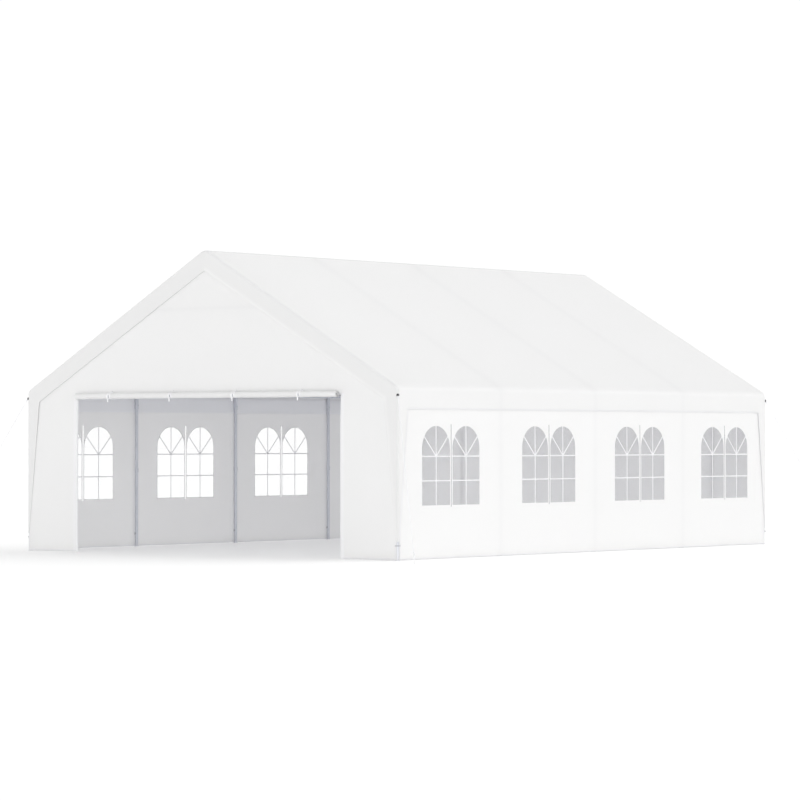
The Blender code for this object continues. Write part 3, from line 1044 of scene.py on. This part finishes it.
def sideOut(y, z):
    # a long wall's outward belly, held at the posts and at the top
    between, top = sin(pi * bayShare(y)) ** 2, roof["valanceLow"]
    height = sin(pi * clamp((z - hemZ) / (top - hemZ)))
    folds = wall["fold"] * (0.5 + 0.5 * ripple(y, z * 0.3, *wall["foldForm"]))
    low = max(0.0, 1 - z / wall["flutterHeight"]) ** 2
    flutter = wall["hemFlutter"] * low * (0.5 + ripple(y, z, *wall["flutterForm"]))
    out = between * (height * (wall["belly"] + folds) + flutter)
    (_, topZ), (_, footZ) = wall["creaseTop"], wall["creaseFoot"]
    share = (z - footZ) / (topZ - footZ)
    away = (abs(y) - creaseAt(clamp(share))[0]) / wall["creaseWidth"]
    return max(out, 0.0) + wall["crease"] * clamp((1 - share) * 3) / (1 + away * away) ** 2


def creasePoints():
    points = []
    for i in range(wall["creaseRows"]):
        y, z = creaseAt(i / (wall["creaseRows"] - 1))
        for step in wall["creaseSteps"]:
            points += [(side * (y + step * wall["creaseWidth"]), z) for side in (-1, 1)]
    return points


# Windows

window = {
    "archWidth": 0.535,
    "archPitch": 0.582,
    "archLow": 0.632,
    "archTop": 1.565,
    "archSteps": 28,
    "slitWidth": 0.020,
    "slitLow": 0.610,
    "slitTop": 1.585,
    "barWidth": 0.0140,
    "barThickness": 0.0014,
    "barStep": 0.05,
    "bars": (0.920, 1.207),
    "barOver": 0.006,       # how far a bar runs on over the wall
    "fanTop": 1.44,
    "film": 0.0008,
    "filmSpacing": 0.06,
    "filmRipple": 0.0008,
    "rippleForm": (0.17, 9.1),
    "weld": 0.009,          # how far the film is welded to the wall round each arch
    "slitWeld": 0.0054,
}


def archOutline(centre, wider=0.0):
    radius = window["archWidth"] / 2
    spring, low = window["archTop"] - radius, window["archLow"] - wider
    radius += wider
    line = arcPoints(centre, spring, radius, 0.0, pi, window["archSteps"])
    return line + [(centre - radius, low), (centre + radius, low)]


def slitOutline(centre, wider=0.0):
    half, low, top = window["slitWidth"] / 2 + wider, window["slitLow"], window["slitTop"]
    return boxOutline(centre - half, centre + half, low - wider, top + wider)


def boxOutline(fromU, toU, fromZ, toZ):
    return [(fromU, fromZ), (toU, fromZ), (toU, toZ), (fromU, toZ)]


def archMiddles(centre):
    return [centre + arch * window["archPitch"] / 2 for arch in (-1, 1)]


def barMesh(side, start, end):
    # one flat bar between two (y, z) points on the window, following the wall's belly
    start, end = Vector(start), Vector(end)
    along = (end - start).normalized()
    across = Vector((-along.y, along.x)) * window["barWidth"] / 2
    count = max(2, ceil((end - start).length / window["barStep"]))
    points, flat = [], []
    for i, here in enumerate([*steps(start, end, count), end]):
        for edge, level in stripCorners:
            y, z = here + across * edge
            x = wallX - 0.0004 - level * window["barThickness"] + sideOut(y, z)
            points.append((side * x, y, z))
            flat.append((i * window["barStep"], 0.5 + edge * 0.01))
    return wrapMesh(points, flat, 4)


def makeWindow(side, name, number):
    centre, node = bayMiddles[number - 1], f"window_film_{name}_{number}"
    low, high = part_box(node)
    face = max(abs(low.x), abs(high.x))

    def filmPlace(u, z):
        wave = window["filmRipple"] * ripple(u, z, *window["rippleForm"])
        return vec(side * (face + sideOut(u, z) + min(wave, 0.0)), u, z)

    outlines = [archOutline(middle, window["weld"]) for middle in archMiddles(centre)]
    outlines.append(slitOutline(centre, window["slitWeld"]))
    films = [uprightSheet(line, [], window["filmSpacing"], filmPlace) for line in outlines]
    pane = addPiece(
        f"windowFilm_{name}_{number}", [(thickened(sheet, window["film"]), 0) for sheet in films],
        ["clearFilm"], [node], sharp=35.0,
    )
    sum(areaOf(sheet) for sheet in films)
    half, over, (sill, cross) = window["archWidth"] / 2, window["barOver"], window["bars"]
    fanZ, bars = window["fanTop"], []
    fanY = (half ** 2 - (fanZ - window["archTop"] + half) ** 2) ** 0.5
    for middle in archMiddles(centre):
        runs = [((middle, window["archLow"] - over), (middle, window["archTop"] + over))]
        runs += [((middle - half - over, z), (middle + half + over, z)) for z in (sill, cross)]
        tips = [middle + lean * (fanY + over) for lean in (-1, 1)]
        runs += [((middle, cross), (tip, fanZ + over)) for tip in tips]
        bars += [(barMesh(side, *run), 0) for run in runs]
    addPiece(f"windowBars_{name}_{number}", bars, ["barVinyl"], sharp=35.0)


def makeLongWall(side, name):
    holes = []
    for centre in bayMiddles:
        holes += [archOutline(middle) for middle in archMiddles(centre)] + [slitOutline(centre)]
    outline = boxOutline(wallLow.y, wallHigh.y, wallFoot, wallHigh.z)
    sheet = uprightSheet(
        outline, holes, wall["spacing"], lambda u, z: vec(side * (wallX + sideOut(u, z)), u, z),
        creasePoints(),
    )
    piece, area = clothPiece(
        f"{name}Wall", sheet, wall["thickness"], "wallCloth", f"{name}_wall"
    )
    for number in range(1, len(rowY)):
        makeWindow(side, name, number)


# Gable walls with their doorways

gable = {
    "belly": 0.0065,
    "bellyRooms": (0.9, 0.5, 0.4),  # it grows this far from the rafters, posts and doorway
    "fold": 0.0020,
    "foldForm": (0.37, 2.3),
    "zipWidth": 0.044,
    "zipRise": 0.0010,
    "teeth": 0.0014,
    "slider": (0.008, 0.004, 0.0175),
    "bend": 0.016,          # the front doorway's edges bend inwards this softly
    "returnDepth": 0.008,   # and go this much further in
    "spacing": 0.066,
    "rows": 30,             # up a zip or a doorway's edge
    "panelFold": 0.0025,
    "panelForm": (0.29, 6.1),
}


def bentLine(x, peak, knee, ridge, count):
    # the two arcs of a line bent at the eave and the ridge
    pitch = roof["pitch"]
    corner = Vector((x, peak - x * tan(pitch)))
    centre = Vector((x - knee, corner.y - knee / tan((pi / 2 + pitch) / 2)))
    eave = arcPoints(*centre, knee, 0.0, pi / 2 - pitch, count)
    return eave, arcPoints(0.0, peak - ridge / cos(pitch), ridge, pi / 2 - pitch, pitch, count)


def gableHalf():
    # the wall's top line, under the cover and over the rafters' axes
    knee, ridge = (roof[key] - roof["edgeRadius"] for key in ("kneeRadius", "ridgeRadius"))
    peak = gableHigh.z + ridge * (1 / cos(roof["pitch"]) - 1)
    x, low = gableHigh.x, roof["valanceLow"]
    eave, top = bentLine(x, peak, knee, ridge, 6)
    wide = x + wall["cornerReach"]
    return [(wide, wallFoot), (wide, low - 0.06), (x, low), *eave, *top]


def gableOut(x, z):
    # a gable wall's outward belly, held along the rafters, at the posts and over the doorway
    below = (ridgeTop - 0.1 - abs(x) * tan(roof["pitch"])) - z
    soft = clamp((z - hemZ) / 0.3, 0.15)
    away = below, gableHigh.x - abs(x), abs(z - panelHigh.z)
    for share in (clamp(a / room) for a, room in zip(away, gable["bellyRooms"])):
        soft *= share * share * (3 - 2 * share)
    bumps = 0.5 + 0.5 * ripple(x, z * 0.6, *gable["foldForm"])
    return soft * (gable["belly"] + gable["fold"] * bumps)


def zipStrips(end, edgeX):
    # beside a doorway: the zip tape, and the coil of teeth on its edge
    heights, parts = [*steps(hemZ, panelHigh.z, gable["rows"]), panelHigh.z], []
    for side in (-1, 1):
        tapeX, teethX = side * (edgeX + gable["zipWidth"] / 2), side * (edgeX + 0.003)
        line = [vec(tapeX, end * (gableY + gableOut(tapeX, z)), z) for z in heights]
        tape = stripMesh(line, gable["zipWidth"], gable["zipRise"], 0.5, vec(0, end, 0))
        coil = [vec(teethX, end * (gableY + 0.0010 + gableOut(teethX, z)), z) for z in heights]
        parts += [(tape, 2), (tubeMesh([(p, gable["teeth"]) for p in coil], 8), 2)]
    return parts


def doorEdges(edgeX):
    # the front doorway's upright edges, bent round and turned inwards
    bend = gable["bend"]
    section = [(bend * (1 - sin(turn)), bend * (1 - cos(turn))) for turn in steps(0.0, pi / 2, 8)]
    section += [(0.0, bend), (0.0, bend + gable["returnDepth"])]
    parts = []
    for side in (-1, 1):
        points, flat = [], []
        for z in [*steps(wallFoot, panelHigh.z, gable["rows"]), panelHigh.z]:
            face = gableY + gableOut(edgeX, z)
            points += [(side * (edgeX - bend + x), y - face, z) for x, y in section]
            flat += [(x - y, z) for x, y in section]
        faces = gridFaces(points, len(section))
        sheet = sheetMesh(points, faces if side > 0 else turnedOver(faces), flat)
        parts.append((outwards(thickened(sheet, wall["thickness"])), 2))
    return parts


def makeGableWall(end, name):
    half, doorX, doorZ = gableHalf(), panelHigh.x, panelHigh.z
    if end < 0:
        doorX += gable["bend"]
    outline = half + [(-x, z) for x, z in reversed(half[:-1])]
    outline += [(-doorX, wallFoot), (-doorX, doorZ), (doorX, doorZ), (doorX, wallFoot)]
    sheet = uprightSheet(
        outline, [], gable["spacing"], lambda u, z: vec(u, end * (gableY + gableOut(u, z)), z)
    )
    piece, area = clothPiece(
        f"{name}GableWall", sheet, wall["thickness"], "wallCloth" if end < 0 else "rearCloth",
        f"{name}_gable_wall",
        zipStrips(end, doorX + 0.001) + (doorEdges(doorX) if end < 0 else []),
    )


def makeRearDoor():
    width, height = panelHigh.x - panelLow.x, panelHigh.z - wallFoot

    def panelPlace(x, z):
        across = sin(pi * (x - panelLow.x) / width)
        bumps = 0.5 + 0.5 * ripple(x, z * 0.25, *gable["panelForm"])
        folds = gable["panelFold"] * across * bumps
        return vec(x, gableY + gableOut(x, z) + folds * min(1.0, (panelHigh.z - z) * 2), z)

    outline = boxOutline(panelLow.x, panelHigh.x, wallFoot, panelHigh.z)
    sheet = uprightSheet(outline, [], gable["spacing"], panelPlace)
    seats = [vec(side * panelHigh.x, gableY + 0.006, hemZ + 0.0475) for side in (-1, 1)]
    sliders = [(roundedBox(seat, gable["slider"], 0.003), 2) for seat in seats]
    piece, area = clothPiece(
        "rearDoorPanel", sheet, wall["thickness"], "rearCloth",
        "rear_door_panel", sliders,
    )


# Rolled-up front door and its ties

roll = {
    "turns": 11.0,
    "layer": 0.0018,
    "looseTurn": 0.0050,    # the outermost turn stands this far off the next
    "thickness": 0.0008,
    "perTurn": 24,
    "ties": (-1.542, -0.521, 0.496, 1.525),
    "pinch": 0.04,
    "pinchWidth": 0.035,
    "sagBetweenTies": 0.001,
    "uneven": 0.004,
    "unevenForms": ((0.22, 4.4), (0.09, 8.8)),
    "lead": (0.055, 5),     # from the wall to the first turn: its height and its rows
    "doorHeight": 1.93,
    "steps": (0.014, 0.045),        # along the roll, beside a tie and elsewhere
    "fineReach": 0.06,
}


def nearestTie(x):
    return min(abs(x - place) for place in roll["ties"])


def rollPoint(x, turn, radius):
    # a point of the rolled sheet: turn is the angle wound since it left the wall
    away = nearestTie(x)
    pinch = roll["pinch"] / (1 + (away / roll["pinchWidth"]) ** 2)
    sag = roll["sagBetweenTies"] * min(away / 0.5, 1.0) ** 2
    broad, fine = roll["unevenForms"]
    waves = ripple(x, sin(turn), *broad) + ripple(x, cos(turn), *fine)
    tight = pinch * (0.4 + 0.6 * sin(turn / 2 % pi))
    size = radius * (1 - tight + roll["uneven"] * waves * min(1.0, away / 0.05))
    back = (rollHigh.y - rollLow.y) / 2 - 0.0002
    return vec(x, rollY + min(size * cos(turn), back), rollZ - sag - size * sin(turn))


def makeDoorRoll():
    outer, perTurn, (leadTop, lead) = (rollHigh.z - rollLow.z) / 2, roll["perTurn"], roll["lead"]
    count, stations, x = int(roll["turns"] * perTurn), [], rollLow.x
    while x < rollHigh.x - 0.01:
        stations.append(x)
        x += roll["steps"][nearestTie(x) >= roll["fineReach"]]
    points, flat = [], []
    for x in [*stations, rollHigh.x]:
        start = rollPoint(x, 0.0, outer)
        points += [vec(x, start.y, start.z + rise) for rise in steps(leadTop, 0.0, lead)]
        flat += [(x, run) for run in steps(0.0, leadTop, lead)]
        run = leadTop
        for i in range(count + 1):
            turn = 2 * pi * i / perTurn
            loose = roll["looseTurn"] * clamp(i / perTurn - 0.25, high=0.75) / 0.75
            radius = outer - roll["layer"] * i / perTurn - loose
            points.append(rollPoint(x, turn, radius))
            flat.append((x, run))
            run += 2 * pi * radius / perTurn
    sheet = sheetMesh(points, turnedOver(gridFaces(points, lead + count + 1)), flat)
    piece = addPiece(
        "frontDoorRoll", [(thickened(sheet, roll["thickness"]), 0)], ["doorCloth"],
        ["front_door_roll"], sharp=60.0,
    )
    ties = [makeTie(number, x) for number, x in enumerate(roll["ties"], 1)]


tie = {
    "second": 0.036,        # from the first strap to the second
    "strap": (0.022, 0.0012),       # width and thickness
    "tail": (0.017, 0.0012),
    "tailDrop": 0.076,
    "shadeRingOut": 0.019,       # from the first strap to the ring on the wall
    "shadeRingRadius": 0.0065,
    "shadeRingWire": 0.0018,
    "knot": (0.011, 0.005, 0.009),
    "shadeBuckle": (0.005, 0.003, 0.016),
}


def makeTie(number, x):
    # two straps from a ring on the wall round the roll, with a buckle, a knot and a hanging tail;
    # the grey ring and buckle are partly painted shade, where the straps leave the wall and in the
    # gap between them
    radius = (rollHigh.z - rollLow.z) / 2 * (1 - roll["pinch"] * 0.4) + 0.0012
    wallFace, shadeRingX, front = -gableY - 0.0022, x + tie["shadeRingOut"], rollY - radius
    parts = []
    for aside in (0.0, tie["second"]):
        path = [vec(shadeRingX + (aside - tie["shadeRingOut"]) * 0.5, wallFace - 0.003, rollZ + 0.048)]
        wound = arcPoints(rollY, rollZ, radius, radians(60), radians(279), 18)
        path += [vec(x + aside, y, z) for y, z in wound]
        parts.append((stripMesh(path, *tie["strap"], tie["strap"][0] / 2), 0))
    knot = vec(x, front - 0.001, rollZ - 0.006)
    # the grey buckle fills the gap between the straps, partly painted shade
    shadeBuckle = vec(x + tie["second"] / 2, front - 0.001, rollZ - 0.010)
    parts.append((roundedBox(knot, tie["knot"], 0.003), 0))
    parts.append((roundedBox(shadeBuckle, tie["shadeBuckle"], 0.0015), 1))
    tail = []
    for share in (i / 8 for i in range(9)):
        drop = tie["tailDrop"] * share
        gap = radius - (radius ** 2 - min(drop, radius) ** 2) ** 0.5
        y = front - 0.003 + gap * 0.35 - 0.002 * sin(share * 5)
        tail.append(vec(x, y, knot.z + 0.006 - drop))
    parts.append((stripMesh(tail, *tie["tail"], tie["tail"][0] / 2), 0))
    # the grey ring partly stands for the shade where the straps leave the wall
    seat = vec(shadeRingX, wallFace - 0.002, rollZ + 0.050)
    parts.append((ringMesh(seat, sideways, upward, tie["shadeRingRadius"], tie["shadeRingWire"], 16, 8), 1))
    return addPiece(f"doorTie_{number}", parts, ["strapWeb", "boltZinc"], sharp=35.0)


# Steel frame

steel = {
    "tube": 0.019,
    "sleeve": 0.0225,
    "kneeRadius": 0.06,
    "ridgeRadius": 0.14,
    "kneeSleeve": 0.12,
    "ridgeSleeve": 0.15,
    "step": 0.003,          # the slope's length where a radius changes
    "stubLow": 1.80,
    "collar": 0.016,
    "collarZ": 2.995,
    "spigot": 0.0215,
    "spigotReach": 0.08,
    "ringZ": 1.0,
    "ringHeight": 0.06,
    "plate": 0.050,
    "plateThickness": 0.005,
    "footCollar": ((0.0, 0.0224), (0.004, 0.0200)),     # (distance up, radius)
    "bolt": (0.0062, 0.006),        # half the head's width, and its height
    "smallBolt": (0.0058, 0.005),
    "knobZ": 0.172,
    "cornerKnob": (0.010, 0.034),   # reach out of the post, and half the bar's length
    "knob": (0.014, 0.016),         # the same on the other posts
    "knobShaft": 0.0045,
    "knobNut": (0.009, 0.008),
    "wing": ((0.2, 0.00576), (0.5, 0.00400), (0.86, 0.00464), (1.0, 0.00256)),
    "sides": 24,
    "bend": 9,
}


def stepped(plain):
    # (point, radius) stations with a short slope wherever the radius changes
    stations = []
    for i, (point, radius) in enumerate(plain):
        if stations and stations[-1][1] != radius and (point - stations[-1][0]).length < 1e-6:
            onward = next(p for p, _ in plain[i + 1:] if (p - point).length > 1e-6)
            point = point + (onward - point).normalized() * steel["step"]
        stations.append((point, radius))
    return stations


def trussPath():
    # the right half of the bent tube's axis as (knee, ridge, height of the slopes' meeting)
    ridge, top = steel["ridgeRadius"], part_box("roof_truss_1")[1].z - steel["sleeve"]
    peak = top + ridge * (1 / cos(roof["pitch"]) - 1)
    arcs = bentLine(postX, peak, steel["kneeRadius"], ridge, steel["bend"])
    return *([vec(x, 0, z) for x, z in arc] for arc in arcs), peak


def purlinAxes():
    knee, ridge, _ = trussPath()
    bend, radius = (pi / 2 - roof["pitch"]) / 2, steel["kneeRadius"]
    x, z = knee[0].x - radius + radius * cos(bend), knee[0].z + radius * sin(bend)
    return {"left_eave": (-x, z), "ridge": (0.0, ridge[-1].z), "right_eave": (x, z)}


def hexBolt(place, along, kind="bolt"):
    # a bolt head with its washer, standing on place
    size, length = steel[kind]
    washer = [(0.0, size * 1.15), (size * 0.18, size * 1.15)]
    head = [(size * 0.18, size * 0.88), (size * 0.25, size)]
    head += [(length - size * 0.12, size), (length, size * 0.86)]
    return [(turnedForm(washer, place, along, 18), 1), (turnedForm(head, place, along, 6), 1)]


def knobBolt(place, along, across, reach, half):
    # a wing bolt: its shaft out of the post, and a bar across it to turn it by
    tip, (size, thick) = place + along * reach, steel["knobNut"]
    shaft, nut = [(step, steel["knobShaft"]) for step in (0.0, reach)], [(0.0, size), (thick, size)]
    wings = [(-step, radius) for step, radius in reversed(steel["wing"])] + [*steel["wing"]]
    bar = [(tip + across * step * half, radius) for step, radius in wings]
    parts = turnedForm(shaft, place, along, 12), turnedForm(nut, place, along, 6), tubeMesh(bar, 12)
    return [(part, 1) for part in parts]


def makeTruss(row):
    knee, ridge, peak = trussPath()
    up, y, sides = (ridge[0] - knee[-1]).normalized(), rowY[row - 1], steel["sides"]
    tube, sleeve, low = steel["tube"], steel["sleeve"], steel["stubLow"]
    kneeReach, ridgeReach = up * steel["kneeSleeve"], up * steel["ridgeSleeve"]
    half = [(p, sleeve) for p in [vec(postX, 0, low), *knee, knee[-1] + kneeReach]]
    half += [(p, tube) for p in (knee[-1] + kneeReach, ridge[0] - ridgeReach)]
    half += [(p, sleeve) for p in [ridge[0] - ridgeReach, *ridge]]
    half += [(vec(-p.x, 0, p.z), radius) for p, radius in reversed(half[:-1])]
    shift = vec(0, y, 0)
    whole = [(p + shift, radius) for p, radius in stepped(half)]
    parts = [(tubeMesh(whole, sides, vec(0, 1, 0)), 0)]
    collarX = (peak - steel["collarZ"]) / tan(roof["pitch"])
    collar = [vec(x, y, steel["collarZ"]) for x in (-collarX, collarX)]
    parts.append((tubeMesh([(p, steel["collar"]) for p in collar], sides), 0))
    behind = 0.0 if row == 1 else -steel["spigotReach"]
    ahead = 0.0 if row == 5 else steel["spigotReach"]
    for x, z in purlinAxes().values():
        line = [vec(x, y + step, z) for step in (behind, ahead)]
        parts.append((tubeMesh([(p, steel["spigot"]) for p in line], sides), 0))
        inward = vec(-x, 0, -1).normalized()
        for step in filter(None, (behind, ahead)):
            parts += hexBolt(vec(x, y + step * 0.7, z) + inward * steel["spigot"], inward)
    for side in (-1, 1):
        square = vec(-side * up.z, 0, up.x)
        parts += hexBolt(vec(side * (postX - sleeve), y, low + 0.05), vec(-side, 0, 0))
        for place in (knee[-1] + kneeReach * 0.7, ridge[0] - ridgeReach * 0.7):
            parts += hexBolt(vec(side * place.x, y, place.z) + square * sleeve, square)
        end = vec(side * collarX, y + sleeve * 0.85, steel["collarZ"])
        parts += hexBolt(end, vec(0, 1, 0))
    addPiece(
        f"trussTube_{row}", parts, ["tubeSteel", "boltZinc"], [f"roof_truss_{row}"]
    )


def makePost(side, name, row):
    tube, sleeve, sides = steel["tube"], steel["sleeve"], steel["sides"]
    ring, half, corner = steel["ringZ"], steel["ringHeight"] / 2, row in (1, 5)
    plate, thick = steel["plate"] / 2, steel["plateThickness"]
    foot = vec(side * postX, rowY[row - 1], 0)
    plain = [(thick / 2, tube), (ring - half, tube), (ring - half, sleeve), (ring + half, sleeve)]
    plain += [(ring + half, tube), (steel["stubLow"] - 0.0003, tube)]
    stations = stepped([(foot + upward * z, radius) for z, radius in plain])
    block = roundedBox(foot + upward * thick / 2, (plate, plate, thick / 2), 0.0025)
    collar = turnedForm(steel["footCollar"], foot + upward * thick, upward, sides)
    # the corner posts and the feet take the lighter steel: painted light
    parts = [(tubeMesh(stations, sides), 2 if corner else 0), (block, 2), (collar, 2)]
    inward = vec(-side, 0, 0)
    for z in (ring - half * 0.45, ring + half * 0.45):
        parts += hexBolt(foot + inward * sleeve + upward * z, inward, "smallBolt")
    out = vec(side, -1 if row == 1 else 1, 0).normalized() if corner else vec(0, -1, 0)
    across = vec(out.y, -out.x, 0) if corner else upward
    seat = foot + upward * steel["knobZ"] + out * tube * 0.95
    parts += knobBolt(seat, out, across, *steel["cornerKnob" if corner else "knob"])
    addPiece(
        f"postTube_{name}_{row}", parts, ["tubeSteel", "boltZinc", "footSteel"],
        [f"{name}_post_{row}"],
    )


def makePurlins():
    for line, (x, z) in purlinAxes().items():
        for bay in range(1, len(rowY)):
            node = f"{line}_tube_{bay}"
            ends = [(vec(x, corner.y, z), steel["tube"]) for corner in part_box(node)]
            addPiece(
                f"purlinTube_{line}_{bay}", [(tubeMesh(ends, steel["sides"]), 0)], ["tubeSteel"],
                [node],
            )


# Guy ropes and pegs

rope = {
    "ropeZ": 1.92,
    "strand": 0.0014,
    "lay": 0.0015,
    "twist": 0.030,
    "perTwist": 9,
    "stopper": (0.013, 0.0170),     # thickness and radius
    "stopperForm": (                # shares of these from the cover outwards
        (0.0, 0.86), (0.0923, 1.0), (0.45, 1.0), (0.62, 0.93), (0.80, 0.70), (0.86, 0.46),
        (1.0, 0.40), (1.0, 0.16),
    ),
    "knot": ((0.0, 0.0035), (0.003, 0.0068), (0.012, 0.0075), (0.021, 0.0068), (0.024, 0.0035)),
    "loop": 0.0026,
    "pegRadius": 0.005,
    "pegHeight": 0.10,
    "hook": 0.016,
}


def twistedRope(start, end):
    # three strands laid round each other between two points
    along, length = (end - start).normalized(), (end - start).length
    across = along.orthogonal().normalized()
    wide, count = along.cross(across), int(length / rope["twist"] * rope["perTwist"])
    parts = []
    for strand in range(3):
        stations = []
        for i in range(count + 1):
            run = length * i / count
            turn = 2 * pi * (run / rope["twist"] + strand / 3)
            lift = rope["lay"] * (across * cos(turn) + wide * sin(turn))
            stations.append((start + along * run + lift, rope["strand"]))
        parts.append((tubeMesh(stations, 6), 0))
    return parts


def pegFoot(side, end, name):
    # a peg's stem, at the corner of its box that faces the tent
    low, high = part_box(f"tent_peg_{name}")
    x, y = low.x if side > 0 else high.x, low.y if end > 0 else high.y
    return vec(x + side * rope["pegRadius"], y + end * rope["pegRadius"], 0)


def makeGuyRope(side, end, name):
    # its stopper sits on the cover's rounded corner
    out, edge, (thick, size) = vec(side, end, 0).normalized(), roof["edgeRadius"], rope["stopper"]
    corner = vec(side * (coverHigh.x - edge), end * (coverHigh.y - edge), rope["ropeZ"])
    seat = corner + out * (edge + 0.0003)
    form = [(thick * step, size * radius) for step, radius in rope["stopperForm"]]
    stake = pegFoot(side, end, name)
    away = vec(stake.x - seat.x, stake.y - seat.y, 0).normalized()
    clear = rope["pegRadius"] + 0.0033
    start = seat + out * thick * 0.5
    tied = stake - away * clear + upward * (rope["pegHeight"] - 0.006)
    along = (tied - start).normalized()
    parts = [(turnedForm(form, seat, out, 28), 1), *twistedRope(start, tied)]
    for place in (start + along * (thick * 0.5 + 0.004), tied - along * 0.055):
        parts.append((turnedForm(rope["knot"], place, along, 14), 0))
    around = stake + upward * tied.z
    loop = ringMesh(around, away, away.cross(upward), clear, rope["loop"], 18, 10)
    parts.append((loop, 0))
    materials = ["ropeNylon", "blackPlastic"]
    addPiece(f"guyRope_{name}", parts, materials, [f"guy_rope_{name}"], sharp=35.0)


def makePeg(side, end, name):
    foot, hook, radius = pegFoot(side, end, name), rope["hook"], rope["pegRadius"]
    away = vec(side * (abs(foot.x) - postX), end * (abs(foot.y) - endY), 0).normalized()
    centre = foot + upward * rope["pegHeight"]
    stations = [(foot, radius), (foot + upward * 0.05, radius)]
    for across, rise in arcPoints(hook, 0.0, hook, pi, -pi, 14):
        stations.append((centre + away * across + upward * rise, radius))
    stations.append((stations[-1][0] - upward * 0.004, radius * 0.8))
    stem = tubeMesh(stations, 18, away.cross(upward))
    addPiece(f"tentPeg_{name}", [(stem, 0)], ["pegSteel"], [f"tent_peg_{name}"])


# Everything made in turn

makeCamera()
makeLight()
makeFloor()
finishes = {"clearFilm": makeClearFilm()}
for make, names in ((makeCloth, clothFinish), (makeMetal, metalFinish), (makeTrim, trimFinish)):
    finishes.update({name: make(name) for name in names})
print("camera, light and finishes ready")

for row in range(1, 6):
    makeTruss(row)
    makePost(-1, "left", row)
    makePost(1, "right", row)
makePurlins()
print("steel frame built")

makeRoofCover()
makeLongWall(-1, "left")
makeLongWall(1, "right")
makeGableWall(-1, "front")
makeGableWall(1, "rear")
makeRearDoor()
print("walls and windows built")

makeDoorRoll()
for side, sideName in ((-1, "left"), (1, "right")):
    for end, endName in ((-1, "front"), (1, "rear")):
        makeGuyRope(side, end, f"{endName}_{sideName}")
        makePeg(side, end, f"{endName}_{sideName}")
print("door roll, ropes and pegs built")
